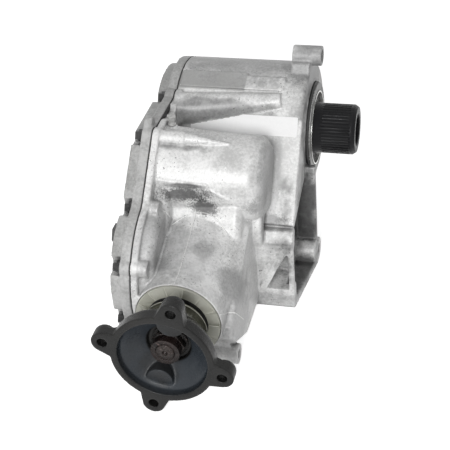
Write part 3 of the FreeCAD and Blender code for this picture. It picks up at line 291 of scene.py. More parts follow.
def patch_group() -> bpy.types.ShaderNodeTree:
    """Shared effect of one ragged patch; patches stand for stains, bare metal and painted shade.

    Returns:
        A node group that turns a place, a centre, a size and some noise into a mask.
    """
    tree = bpy.data.node_groups.new("ragged_patch", "ShaderNodeTree")
    io = tree.interface
    for name in ("Vector", "Centre", "Size"):
        io.new_socket(name, in_out="INPUT", socket_type="NodeSocketVector")
    io.new_socket("Noise", in_out="INPUT", socket_type="NodeSocketFloat")
    io.new_socket("Mask", in_out="OUTPUT", socket_type="NodeSocketFloat")
    kit = Nodes(tree)
    source = kit.add("NodeGroupInput")
    sink = kit.add("NodeGroupOutput")
    offset = kit.add("VectorMath", operation="SUBTRACT")
    kit.wire(source.outputs["Vector"], offset.inputs[0])
    kit.wire(source.outputs["Centre"], offset.inputs[1])
    share = kit.add("VectorMath", operation="DIVIDE")
    kit.wire(offset.outputs[0], share.inputs[0])
    kit.wire(source.outputs["Size"], share.inputs[1])
    reach = kit.add("VectorMath", operation="LENGTH")
    kit.wire(share.outputs[0], reach.inputs[0])
    torn = kit.math("ADD", reach.outputs["Value"], source.outputs["Noise"])
    kit.wire(kit.ramp(torn, PATCH_RIM, PATCH_CORE), sink.inputs["Mask"])
    return tree


# ---- Finishes ----
@dataclass(frozen=True)
class Patch:
    """A place on a casting painted darker or brighter than the rest, for stains, rubbed metal and
    painted shade, in millimetres.
    """

    centre: Triple
    size: Triple
    tone: float
    amount: float
    speckled: bool = False

    def greys(self) -> tuple[Colour, Colour]:
        """The patch's darkest and lightest grey."""
        dark, light = (self.tone * share for share in PATCH_SPREAD)
        return (dark,) * 3, (light,) * 3


CASE_PATCHES = (
    Patch((-50, 8, 62), (80, 30, 16), 0.36, 0.8),             # top of the input barrel
    Patch((-16, -6, 60), (20, 14, 10), 0.20, 0.7, True),
    Patch((-104, -112, 37), (24, 4, 5), 0.16, 0.8),           # painted shade under the third screw's boss
    Patch((-97, -133, 15), (24, 4, 2.6), 0.12, 0.85),         # painted shade along a line under the panel's ledge
    Patch((-75, -54, 43), (70, 8, 14), 0.27, 0.9),            # painted shade under the tapered rib
    Patch((-92, -137, 8), (28, 9, 7), 0.07, 0.9, True),       # painted shade with oily stains under the panel's ledge
    Patch((-74, -135, -5), (13, 9, 8), 0.05, 0.85, True),
    Patch((-30, -120, -6), (16, 18, 9), 0.20, 0.6, True),     # foot of the round panel
    Patch((-28, -101, -36), (28, 8, 5), 0.12, 0.75, True),
    Patch((-104, -176, -16), (24, 36, 26), 0.38, 0.8),        # painted shade on the left flank of the nose
    Patch((-78, -172, -26), (26, 30, 16), 0.42, 0.75),
    Patch((-66, -171, -24), (9, 10, 8), 0.28, 0.6),
    Patch((-57, -178, -33), (8, 14, 10), 0.62, 0.7),          # rubbed bright
    Patch((-42, -178, -48), (12, 13, 16), 0.30, 0.75),        # painted shade on the skirt under the nose
    Patch((-40, -184, -84), (12, 34, 34), 0.36, 0.7),
    Patch((-5, -43, -60), (16, 9, 66), 0.09, 0.95),           # painted shade on the web and recess of the mounting side
    Patch((-12, -75, -66), (10, 40, 46), 0.09, 0.9),
    Patch((-8, -70, -114), (18, 36, 9), 0.10, 0.85),
    Patch((-1, 8, 40), (7, 44, 30), 0.20, 0.85),              # painted shade on the face behind the pilot ring
    Patch((-6, 4, 70), (22, 22, 16), 0.30, 0.8),              # ear
    Patch((-25, -100, -8), (5, 60, 60), 0.40, 0.5),           # painted shade on the end face of the round panel
    Patch((-22, -112, -118), (34, 8, 7), 0.42, 0.8),          # toe of the foot
)


FLANGE_PATCHES = (
    Patch((-74, -250, -36), (17, 12, 14), 0.014, 0.9),        # painted shade on the upper lobe behind the ear
    # painted shade on the lower lobe behind the ear
    Patch((-93, -246, -92), (16, 10, 13), 0.020, 0.7),
    Patch((-72, -246, -48), (13, 9, 9), 0.004, 0.8),          # painted shade above the nut
)


WORN_EDGE = (0.53, 0.60)            # pointiness where an edge starts to be rubbed, and is bare
# Painted shade in corners and creases, from ambient occlusion.
CORNER_SHADE_REACH = 7.0 * MM              # how near a wall has to be to keep grime
CORNER_SHADE_SAMPLES = 8
CORNER_SHADE_LIGHT = (0.75, 0.30)          # open share of the sky where the painted corner shade starts, and is full
CORNER_SHADE_RAGGED = (0.0, 0.8, 0.55, 1.0)


@dataclass(frozen=True)
class Finish:
    """A surface: base colours, how metallic and rough it is, and how strongly the cast skin shows.

    The specks, stain, wear, painted corner shade and relief are amounts from 0 to 1.
    """

    name: str
    slot: str
    colour: Colour
    second: Colour
    # Colour of stains and specks, and of the painted shade in corners; on rusty steel it is light,
    # for painted glints.
    dirt_shade_glint: Colour
    metallic: float = 0.0
    rough: float = 0.5
    rough_spread: float = 0.1
    grain: float = 1.0
    specks: float = 0.0
    stain: float = 0.0
    wear: float = 0.0
    wear_colour: Colour = (0.5, 0.5, 0.5)
    corner_shade: float = 0.0
    relief: float = 0.1
    relief_depth: float = 0.0002
    specular: float = 0.5
    patches: tuple[Patch, ...] = ()
    extra: Callable[[Nodes, bpy.types.Node, Socket], Socket] | None = None

    def material(self, skin: bpy.types.ShaderNodeTree,
                 patch: bpy.types.ShaderNodeTree) -> bpy.types.Material:
        """Builds the node material.

        Args:
            skin: The shared cast skin group.
            patch: The shared ragged patch group.

        Returns:
            The material, ready for a slot.
        """
        material = bpy.data.materials.new(self.name)
        material.use_nodes = True
        kit = Nodes(material.node_tree)
        shader = material.node_tree.nodes["Principled BSDF"]
        shader.inputs["Metallic"].default_value = self.metallic
        shader.inputs["Specular IOR Level"].default_value = self.specular
        place = kit.add("TexCoord")
        surface = kit.group(skin)
        surface.inputs["Grain"].default_value = self.grain
        kit.wire(place.outputs["Object"], surface.inputs["Vector"])
        blotch = surface.outputs["Blotch"]
        colour = kit.mix(blotch, self.colour, self.second)
        if self.extra:
            colour = self.extra(kit, place, colour)
        if self.patches:
            colour = self.patched(kit, place.outputs["Object"], blotch, patch, colour)
        kit.wire(self.weathered(kit, surface, colour), shader.inputs["Base Color"])
        smooth, coarse = self.rough - self.rough_spread, self.rough + self.rough_spread
        kit.wire(kit.ramp(blotch, 0.0, 1.0, smooth, coarse), shader.inputs["Roughness"])
        bump = kit.add("Bump", in_Strength=self.relief, in_Distance=self.relief_depth)
        kit.wire(surface.outputs["Height"], bump.inputs["Height"])
        kit.wire(bump.outputs["Normal"], shader.inputs["Normal"])
        return material

    def patched(self, kit: Nodes, at: Socket, blotch: Socket, patch: bpy.types.ShaderNodeTree,
                colour: Socket) -> Socket:
        """Lays the finish's patches over a colour.

        Args:
            kit: The tree being built.
            at: Object coordinates.
            blotch: The skin's blotches.
            patch: The shared ragged patch group.
            colour: The colour so far.

        Returns:
            The colour with the patches.
        """
        broad = kit.layer(at, PATCH_EDGE)
        speckled = kit.math("ADD", broad, kit.layer(at, PATCH_SPECKLE))
        for spot in self.patches:
            mask = kit.group(patch)
            mask.inputs["Centre"].default_value = tuple(v * MM for v in spot.centre)
            mask.inputs["Size"].default_value = tuple(v * MM for v in spot.size)
            kit.wire(at, mask.inputs["Vector"])
            kit.wire(speckled if spot.speckled else broad, mask.inputs["Noise"])
            tone = kit.mix(blotch, *spot.greys())
            colour = kit.mix(kit.math("MULTIPLY", mask.outputs["Mask"], spot.amount), colour, tone)
        return colour

    def weathered(self, kit: Nodes, surface: bpy.types.Node, colour: Socket) -> Socket:
        """Adds stains, specks, rubbed edges and painted shade in the corners to a colour; the
        light specks of rusty steel are painted glints.

        Args:
            kit: The tree being built.
            surface: The material's cast skin node.
            colour: The colour so far.

        Returns:
            The colour as it is seen.
        """
        # Stains and specks take the finish's third colour; on the rusty steel finishes that colour
        # is light, so the specks there are painted glints.
        for output, amount in (("Stain", self.stain), ("Specks", self.specks)):
            if amount:
                share = kit.math("MULTIPLY", surface.outputs[output], amount)
                colour = kit.mix(share, colour, self.dirt_shade_glint)
        if self.wear:
            edge = kit.ramp(kit.add("NewGeometry").outputs["Pointiness"], *WORN_EDGE)
            colour = kit.mix(kit.math("MULTIPLY", edge, self.wear), colour, self.wear_colour)
        # Painted shade: corners that see little of the sky take the finish's third colour.
        if self.corner_shade:
            corner = kit.add("AmbientOcclusion", samples=CORNER_SHADE_SAMPLES, in_Distance=CORNER_SHADE_REACH)
            ragged = kit.math("MULTIPLY", kit.ramp(corner.outputs["AO"], *CORNER_SHADE_LIGHT),
                              kit.ramp(surface.outputs["Blotch"], *CORNER_SHADE_RAGGED))
            colour = kit.mix(kit.math("MULTIPLY", ragged, self.corner_shade), colour, self.dirt_shade_glint)
        return colour


def axis_distance(kit: Nodes, at: Socket, first: str, second: str,
                  centre: Pair) -> tuple[Socket, bpy.types.Node]:
    """Distance of a point from an axis parallel to one of the frame's axes.

    Args:
        kit: The tree being built.
        at: Object coordinates.
        first: The first coordinate across the axis.
        second: The second coordinate across the axis.
        centre: The axis's place in those two coordinates.

    Returns:
        The distance, and the node that splits the coordinates.
    """
    split = kit.add("SeparateXYZ")
    kit.wire(at, split.inputs[0])
    du = kit.math("SUBTRACT", split.outputs[first], centre[0])
    dv = kit.math("SUBTRACT", split.outputs[second], centre[1])
    square = kit.math("ADD", kit.math("MULTIPLY", du, du), kit.math("MULTIPLY", dv, dv))
    return kit.math("SQRT", square), split


def within(kit: Nodes, value: Socket, limits: Pair, soft: float) -> Socket:
    """Mask of what lies between two limits.

    Args:
        kit: The tree being built.
        value: What is tested.
        limits: The lower and the upper limit, in millimetres.
        soft: Half the width of the mask's edges, in millimetres.

    Returns:
        One between the limits and zero outside them.
    """
    low, high = limits
    rise = kit.ramp(value, (low - soft) * MM, (low + soft) * MM)
    fall = kit.ramp(value, (high + soft) * MM, (high - soft) * MM)
    return kit.math("MULTIPLY", rise, fall)


@dataclass(frozen=True)
class WorkedAndShadedFaces:
    """Greyer metal where the casting is machined, on the pilot ring's face and the barrel's pad;
    on the ring's face the grey is also painted shade.

    Lengths are in millimetres.
    """

    ring_radius: float = 43.0
    ring_back: float = -3.8
    ring_colour: Colour = (0.30, 0.30, 0.29)
    pad_x: Pair = (-122.0, -59.0)
    pad_y: Pair = (-31.0, -13.6)
    pad_lowest: float = 46.0
    pad_edge: float = 0.6
    pad_amount: float = 0.78
    pad_colour: Colour = (0.25, 0.25, 0.245)

    def __call__(self, kit: Nodes, place: bpy.types.Node, colour: Socket) -> Socket:
        """Lays the two machined places over a colour, the ring's grey also as painted shade.

        Args:
            kit: The tree being built.
            place: The material's coordinates.
            colour: The colour so far.

        Returns:
            The colour with both places.
        """
        # Ring face: machined grey that is also painted shade on a face turned from the lamps.
        radius, split = axis_distance(kit, place.outputs["Object"], "Y", "Z", (0.0, 0.0))
        near = kit.math("LESS_THAN", radius, self.ring_radius * MM)
        front = kit.math("GREATER_THAN", split.outputs["X"], self.ring_back * MM)
        colour = kit.mix(kit.math("MULTIPLY", near, front), colour, self.ring_colour)
        flat = kit.math("MULTIPLY", within(kit, split.outputs["X"], self.pad_x, self.pad_edge),
                        within(kit, split.outputs["Y"], self.pad_y, self.pad_edge))
        above = kit.math("GREATER_THAN", split.outputs["Z"], self.pad_lowest * MM)
        pad = kit.math("MULTIPLY", flat, above)
        return kit.mix(kit.math("MULTIPLY", pad, self.pad_amount), colour, self.pad_colour)


@dataclass(frozen=True)
class ShadedHexFlats:
    """Painted shade on the nut's hexagon, outside its round crown."""

    crown: Pair = (12.1 * MM, 12.9 * MM)
    colour: Colour = (0.004, 0.0035, 0.003)

    def __call__(self, kit: Nodes, place: bpy.types.Node, colour: Socket) -> Socket:
        """Lays the painted shade over the colour so far."""
        radius, _ = axis_distance(kit, place.outputs["Object"], "X", "Z",
                                  (AXES.output_x, AXES.output_z))
        return kit.mix(kit.ramp(radius, *self.crown), colour, self.colour)


@dataclass(frozen=True)
class BlueBowl:
    """Blue-grey bloom inside the flange's bowl, where the coating is thinner."""

    outer: Pair = (38.2 * MM, 36.0 * MM)
    inner: Pair = (18.6 * MM, 20.0 * MM)
    facing: Pair = (0.15, -0.15)
    colour: Colour = (0.030, 0.036, 0.043)

    def __call__(self, kit: Nodes, place: bpy.types.Node, colour: Socket) -> Socket:
        """Lays the bloom over a colour.

        Args:
            kit: The tree being built.
            place: The material's coordinates.
            colour: The colour so far.

        Returns:
            The colour with the bloom.
        """
        radius, _ = axis_distance(kit, place.outputs["Object"], "X", "Z",
                                  (AXES.output_x, AXES.output_z))
        inside = kit.math("MULTIPLY", kit.ramp(radius, *self.outer), kit.ramp(radius, *self.inner))
        facing = kit.add("SeparateXYZ")
        kit.wire(place.outputs["Normal"], facing.inputs[0])
        towards = kit.ramp(facing.outputs["Y"], *self.facing)
        return kit.mix(kit.math("MULTIPLY", inside, towards), colour, self.colour)


CAST = Finish(
    "cast_aluminium", "cast_aluminium", (0.50, 0.50, 0.495), (0.82, 0.82, 0.815),
    (0.06, 0.06, 0.06), metallic=0.15, rough=0.44, rough_spread=0.10, specks=0.85, stain=0.25,
    wear=0.5, corner_shade=0.75, wear_colour=(0.9, 0.9, 0.89), relief=0.8, relief_depth=0.0003,
    specular=0.4, patches=CASE_PATCHES, extra=WorkedAndShadedFaces())
COVER_CAST = Finish(
    "cover_aluminium", "cast_aluminium", (0.29, 0.29, 0.285), (0.50, 0.50, 0.495),
    (0.06, 0.06, 0.06), metallic=0.15, rough=0.44, specks=0.5, stain=0.35, wear=0.4,
    wear_colour=(0.85, 0.85, 0.84), corner_shade=0.7, relief=0.6, relief_depth=0.00025, specular=0.4)
FLASH = Finish(
    "mould_flash", "cast_aluminium", (0.78, 0.78, 0.77), (0.92, 0.92, 0.91), (0.4, 0.4, 0.4),
    rough=0.4)
GASKET = Finish(
    "gasket_black", "gasket", (0.02, 0.02, 0.02), (0.035, 0.035, 0.035), (0.01, 0.01, 0.01),
    rough=0.7)
FASTENER = Finish(
    "dark_fastener", "dark_fasteners", (0.018, 0.018, 0.018), (0.05, 0.05, 0.05),
    (0.008, 0.008, 0.008), metallic=0.3, rough=0.42, stain=0.3, wear=0.5, relief=0.2,
    specular=0.3)
PLUG = Finish(
    "plug_steel", "plug_steel", (0.05, 0.05, 0.05), (0.12, 0.12, 0.12), (0.02, 0.02, 0.02),
    metallic=0.4, rough=0.4, stain=0.4, wear=0.5, wear_colour=(0.35, 0.35, 0.34), relief=0.2)
VENT = Finish(
    "vent_steel", "plug_steel", (0.36, 0.36, 0.35), (0.60, 0.60, 0.59), (0.12, 0.12, 0.12),
    metallic=0.4, rough=0.4, stain=0.4, relief=0.2)
WASHER = Finish(
    "soft_washer", "washer_metal", (0.50, 0.50, 0.48), (0.62, 0.62, 0.60), (0.2, 0.2, 0.2),
    metallic=0.8, rough=0.38, stain=0.2)
SEAL_METAL = Finish(
    "seal_metal", "seal_metal", (0.62, 0.62, 0.60), (0.8, 0.8, 0.78), (0.2, 0.2, 0.2),
    metallic=0.9, rough=0.25, rough_spread=0.05, stain=0.2)
RUBBER = Finish(
    "seal_rubber", "rubber", (0.016, 0.016, 0.016), (0.03, 0.03, 0.03), (0.08, 0.08, 0.08),
    rough=0.55, stain=0.2, relief=0.15)
COLLAR = Finish(
    "olive_collar", "collar_olive", (0.17, 0.17, 0.125), (0.26, 0.26, 0.195),
    (0.08, 0.075, 0.06), metallic=0.15, rough=0.5, stain=0.4, specks=0.3, wear=0.75,
    wear_colour=(0.75, 0.75, 0.68), relief=0.2)
BLACK_IRON = Finish(
    "black_iron", "black_paint", (0.004, 0.004, 0.004), (0.012, 0.012, 0.0115),
    (0.035, 0.032, 0.029), rough=0.34, rough_spread=0.12, stain=0.3, specks=0.2, wear=0.15,
    specular=0.25, wear_colour=(0.07, 0.068, 0.065), relief=0.7, relief_depth=0.0004,
    patches=FLANGE_PATCHES, extra=BlueBowl())
SLEEVE_BLACK = Finish(
    "black_sleeve", "black_sleeve", (0.003, 0.003, 0.004), (0.007, 0.007, 0.008),
    (0.015, 0.015, 0.015), rough=0.34, wear=0.3, wear_colour=(0.04, 0.04, 0.045), relief=0.1,
    specular=0.16)
GEAR = Finish(
    "gear_steel", "gear_steel", (0.36, 0.36, 0.37), (0.46, 0.46, 0.47), (0.1, 0.08, 0.05),
    metallic=1.0, rough=0.3, stain=0.2, relief=0.1)
BEARING = Finish(
    "bearing_steel", "bearing_steel", (0.55, 0.55, 0.57), (0.66, 0.66, 0.68), (0.2, 0.15, 0.1),
    metallic=1.0, rough=0.2, rough_spread=0.05, stain=0.1)
# Its light specks are painted glints on the shaft's end.
SHAFT = Finish(
    "worn_steel", "worn_steel", (0.008, 0.005, 0.004), (0.030, 0.019, 0.016),
    (0.28, 0.23, 0.21), metallic=0.3, rough=0.30, specular=0.4, grain=1.3, specks=0.6,
    wear=0.5, wear_colour=(0.30, 0.24, 0.22), relief=0.8, relief_depth=0.0006)
# Its light specks are painted glints on the nut.
RUST = Finish(
    "rusty_nut", "rusty_nut", (0.005, 0.0028, 0.0024), (0.018, 0.010, 0.0085),
    (0.22, 0.17, 0.155), metallic=0.3, rough=0.28, specular=0.4, grain=1.3, specks=0.7,
    wear=0.6, wear_colour=(0.17, 0.12, 0.11), relief=1.0, relief_depth=0.0009,
    extra=ShadedHexFlats())
LABEL = Finish(
    "bare_label", "cast_aluminium", (0.84, 0.84, 0.84), (0.88, 0.88, 0.88), (0.6, 0.6, 0.58),
    rough=0.45, stain=0.06, relief=0.03)


class Palette:
    """Every finish's material, made once."""

    def __init__(self) -> None:
        """Starts with the two shared groups and no materials."""
        self.skin = cast_skin_group()
        self.patch = patch_group()
        self.made: dict[str, bpy.types.Material] = {}

    def get(self, finish: Finish) -> bpy.types.Material:
        """The material of a finish."""
        if finish.name not in self.made:
            self.made[finish.name] = finish.material(self.skin, self.patch)
        return self.made[finish.name]


# ---- Mesh kit ----
SAME_POINT = 0.002 * MM             # vertices closer than this are one
NO_LENGTH = 0.001 * MM              # edges shorter than this vanish


def merged_copy(node: str, name: str) -> bpy.types.Object:
    """Copy of a CAD node with its loose triangles joined.

    Args:
        node: The CAD node.
        name: The new piece's name.

    Returns:
        The new object, at the origin.
    """
    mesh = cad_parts[node].data.copy()
    mesh.name = name
    shape = bmesh.new()
    shape.from_mesh(mesh)
    bmesh.ops.remove_doubles(shape, verts=shape.verts, dist=SAME_POINT)
    bmesh.ops.dissolve_degenerate(shape, edges=shape.edges, dist=NO_LENGTH)
    shape.to_mesh(mesh)
    shape.free()
    piece = bpy.data.objects.new(name, mesh)
    bpy.context.scene.collection.objects.link(piece)
    return piece


def bake_modifiers(piece: bpy.types.Object) -> None:
    """Replaces a piece's mesh with the result of its modifiers and removes them.

    Args:
        piece: The piece.
    """
    bpy.context.view_layer.update()
    graph = bpy.context.evaluated_depsgraph_get()
    mesh = bpy.data.meshes.new_from_object(piece.evaluated_get(graph))
    piece.modifiers.clear()
    piece.data = mesh


def dress(piece: bpy.types.Object, material: bpy.types.Material) -> None:
    """Gives a piece one material."""
    piece.data.materials.clear()
    piece.data.materials.append(material)


def smooth_faces(piece: bpy.types.Object) -> None:
    """Shades every face of a piece smooth."""
    piece.data.polygons.foreach_set("use_smooth", [True] * len(piece.data.polygons))


def soften_shading(piece: bpy.types.Object, angle: float) -> None:
    """Smooth shading that keeps edges sharper than the angle, in degrees."""
    smooth_faces(piece)
    piece.data.set_sharp_from_angle(angle=math.radians(angle))


def new_piece(name: str, shape: bmesh.types.BMesh) -> bpy.types.Object:
    """Turns a bmesh into an object at the origin.

    Args:
        name: The object's name.
        shape: Its form, which is freed.

    Returns:
        The new object.
    """
    mesh = bpy.data.meshes.new(name)
    bmesh.ops.recalc_face_normals(shape, faces=shape.faces)
    shape.to_mesh(mesh)
    shape.free()
    piece = bpy.data.objects.new(name, mesh)
    bpy.context.scene.collection.objects.link(piece)
    return piece


def extrude(shape: bmesh.types.BMesh, faces: list[bmesh.types.BMFace],
            way: Vector) -> list[bmesh.types.BMVert]:
    """Extrudes faces along a vector.

    Args:
        shape: The form that is built.
        faces: What is extruded.
        way: How far and where to.

    Returns:
        The corners of the far side.
    """
    grown = bmesh.ops.extrude_face_region(shape, geom=faces)
    outer = [item for item in grown["geom"] if isinstance(item, bmesh.types.BMVert)]
    bmesh.ops.translate(shape, vec=way, verts=outer)
    return outer


def ease(value: float, start: float, end: float) -> float:
    """Smooth step from 0 at the start to 1 at the end."""
    share = min(max((value - start) / (end - start), 0.0), 1.0)
    return share * share * (3.0 - 2.0 * share)


# ---- Forms of the casting's skin ----
@dataclass(frozen=True)
class NoseSkirt:
    """Rounded skirt that carries the nose's flat side down to the bracket boss.

    The outline holds Y and Z in millimetres.
    """

    outline: tuple[Pair, ...] = (
        (-108, -84), (-134, -80), (-163, -57), (-186, -61), (-204, -76), (-207, -86),
        (-196, -100), (-160, -120), (-108, -120))
    width: float = 44.4 * MM
    edge: float = 4 * MM
    steps: int = 4

    def add(self, shape: bmesh.types.BMesh) -> None:
        """Adds the skirt.

        Args:
            shape: The form that takes it.
        """
        flat = [shape.verts.new((AXES.output_x, y * MM, z * MM)) for y, z in self.outline]
        outer = extrude(shape, [shape.faces.new(flat)], Vector((self.width, 0, 0)))
        rim = [edge for edge in shape.edges if all(corner in outer for corner in edge.verts)]
        bmesh.ops.bevel(shape, geom=rim, offset=self.edge, affect="EDGES", segments=self.steps,
                        profile=0.5, material=-1)


@dataclass(frozen=True)
class LegBoss:
    """Round front of the leg's boss, which stands out of the web along X."""

    start: float = -18.0 * MM
    end: float = 4.8 * MM
    y: float = -50.0 * MM
    z: float = -104.5 * MM
    radius: float = 11.0 * MM
    sides: int = 48

    def add(self, shape: bmesh.types.BMesh) -> None:
        """Adds the boss.

        Args:
            shape: The form that takes it.
        """
        middle = Matrix.Translation(((self.start + self.end) / 2, self.y, self.z))
        place = middle @ Matrix.Rotation(math.pi / 2, 4, "Y")
        bmesh.ops.create_cone(shape, cap_ends=True, segments=self.sides, radius1=self.radius,
                              radius2=self.radius, depth=self.end - self.start, matrix=place)


@dataclass(frozen=True)
class PanelFlank:
    """Dip of the panel's rear flank towards the deck, which leaves the label's end in sight.

    Each pair holds where the dip starts and where it is full.
    """

    depth: float = 5.0 * MM
    along: Pair = (-30 * MM, -64 * MM)
    front: Pair = (-88 * MM, -72 * MM)
    rear: Pair = (-57 * MM, -62 * MM)
    height: Pair = (12 * MM, 24 * MM)

    def dip(self, at: Vector) -> float:
        """How far the flank lies below a plain cone.

        Args:
            at: A point of the panel.

        Returns:
            The depth at that point.
        """
        if (at.z < self.height[0] or at.x > self.along[0]
                or not self.front[0] < at.y < self.rear[0]):
            return 0.0
        across = ease(at.y, *self.front) * ease(at.y, *self.rear)
        return self.depth * ease(at.x, *self.along) * across * ease(at.z, *self.height)


# ---- Pieces that stand for CAD nodes ----
@dataclass
class NodePart:
    """A piece that stands for one CAD node."""

    node: str
    body: Body
    finish: Finish

    def build(self, palette: Palette) -> bpy.types.Object:
        """Makes the piece, which rides on its body."""
        raise NotImplementedError

    def stand_in(self, piece: bpy.types.Object, palette: Palette) -> bpy.types.Object:
        """Dresses the piece and puts it in the node's place.

        Args:
            piece: The piece.
            palette: The materials.

        Returns:
            The same piece.
        """
        dress(piece, palette.get(self.finish))
        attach(piece, self.body.value)
        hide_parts(self.node)
        LOG.info("built %s: %d polygons", piece.name, len(piece.data.polygons))
        return piece


@dataclass
class CastShell(NodePart):
    """A casting or forging: the CAD form with soft corners, as it comes out of its mould."""

    voxel: float = 1.1 * MM
    relax: int = 3
    budget: int = 190_000
    forms: tuple[Callable[[bmesh.types.BMesh], None], ...] = ()
    settle: Callable[[Vector], float] | None = None

    def build(self, palette: Palette) -> bpy.types.Object:
        """Remeshes a copy of the node, relaxes its edges and thins it to the budget.

        Args:
            palette: The materials.

        Returns:
            The finished piece, riding on its body.
        """
        piece = merged_copy(self.node, self.node + "_casting")
        for add_form in self.forms:
            shape = bmesh.new()
            add_form(shape)
            bmesh.ops.recalc_face_normals(shape, faces=shape.faces)
            shape.from_mesh(piece.data)
            shape.to_mesh(piece.data)
            shape.free()
        remesh = piece.modifiers.new("remesh", "REMESH")
        remesh.mode = "VOXEL"
        remesh.voxel_size = self.voxel
        bake_modifiers(piece)
        if self.settle:
            for vertex in piece.data.vertices:
                vertex.co.z -= self.settle(vertex.co)
        relax = piece.modifiers.new("relax", "SMOOTH")
        relax.factor = 0.5
        relax.iterations = self.relax
        bake_modifiers(piece)
        triangles = 2 * len(piece.data.polygons)
        if triangles > self.budget:
            thin = piece.modifiers.new("thin", "DECIMATE")
            thin.ratio = self.budget / triangles
            bake_modifiers(piece)
        smooth_faces(piece)
        return self.stand_in(piece, palette)


@dataclass
class MachinedPart(NodePart):
    """A turned or milled part: the CAD form with broken edges and smooth rounds.

    The angles are in degrees.
    """

    chamfer: float = 0.0
    chamfer_steps: int = 2
    chamfer_angle: float = 40.0
    flat_angle: float = 0.5
    smooth_angle: float = 32.0

    def build(self, palette: Palette) -> bpy.types.Object:
        """Joins a copy of the node, breaks its edges and shades its rounds smooth.

        Args:
            palette: The materials.

        Returns:
            The finished piece, riding on its body.
        """
        piece = merged_copy(self.node, self.node + "_machined")
        shape = bmesh.new()
        shape.from_mesh(piece.data)
        bmesh.ops.dissolve_limit(shape, angle_limit=math.radians(self.flat_angle),
                                 verts=shape.verts, edges=shape.edges)
        shape.to_mesh(piece.data)
        shape.free()
        if self.chamfer:
            edge = piece.modifiers.new("edge", "BEVEL")
            edge.width = self.chamfer
            edge.segments = self.chamfer_steps
            edge.limit_method = "ANGLE"
            edge.angle_limit = math.radians(self.chamfer_angle)
            edge.use_clamp_overlap = True
            bake_modifiers(piece)
        soften_shading(piece, self.smooth_angle)
        return self.stand_in(piece, palette)


@dataclass
class InnerWorks:
    """Gears, shafts and bearings inside the casting, which keep their CAD meshes."""

    finishes: dict[str, Finish] = field(default_factory=lambda: {
        "input_gear": GEAR, "driven_gear": GEAR, "ring_gear": GEAR, "counter_shaft": GEAR,
        "ring_gear_bolts": FASTENER, "crush_spacer": GEAR, "input_snap_ring": GEAR})

    def build(self, palette: Palette, taken: set[str]) -> None:
        """Dresses every CAD node that no piece replaces.

        Args:
            palette: The materials.
            taken: Nodes that other pieces stand for.
        """
        for name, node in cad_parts.items():
            if name in taken:
                continue
            finish = self.finishes.get(name, BEARING)
            dress(node, palette.get(finish))
            LOG.info("dressed %s with %s", name, finish.name)


# ---- Pieces made here ----
@dataclass
class DeckLabel:
    """Bare white sticker on the sloping deck."""

    x_left: float = -104.5 * MM
    x_right: float = -8.0 * MM
    top: float = -2.0 * MM
    bottom: float = 15.4 * MM
    thick: float = 0.15 * MM
    solid_share: float = 0.9            # share of the thickness that is plate, not glue
    corner: float = 1.2 * MM
    corner_steps: int = 4

    def build(self, palette: Palette) -> bpy.types.Object:
        """Makes the sticker as a thin plate with round corners, laid on the deck.

        Args:
            palette: The materials.

        Returns:
            The sticker, riding on the case.
        """
        shape = bmesh.new()
        corners = ((self.x_left, self.top), (self.x_right, self.top),
                   (self.x_right, self.bottom), (self.x_left, self.bottom))
        shape.faces.new([shape.verts.new(AXES.deck_point(x, down, self.thick))
                         for x, down in corners])
        bmesh.ops.bevel(shape, geom=list(shape.verts), offset=self.corner, affect="VERTICES",
                        segments=self.corner_steps, profile=0.5, material=-1)
        down = AXES.deck_point(0, 0) - AXES.deck_point(0, 0, self.thick)
        extrude(shape, list(shape.faces), down * self.solid_share)
        piece = new_piece("deck_label", shape)
        dress(piece, palette.get(LABEL))
        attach(piece, Body.CASE.value)
        return piece


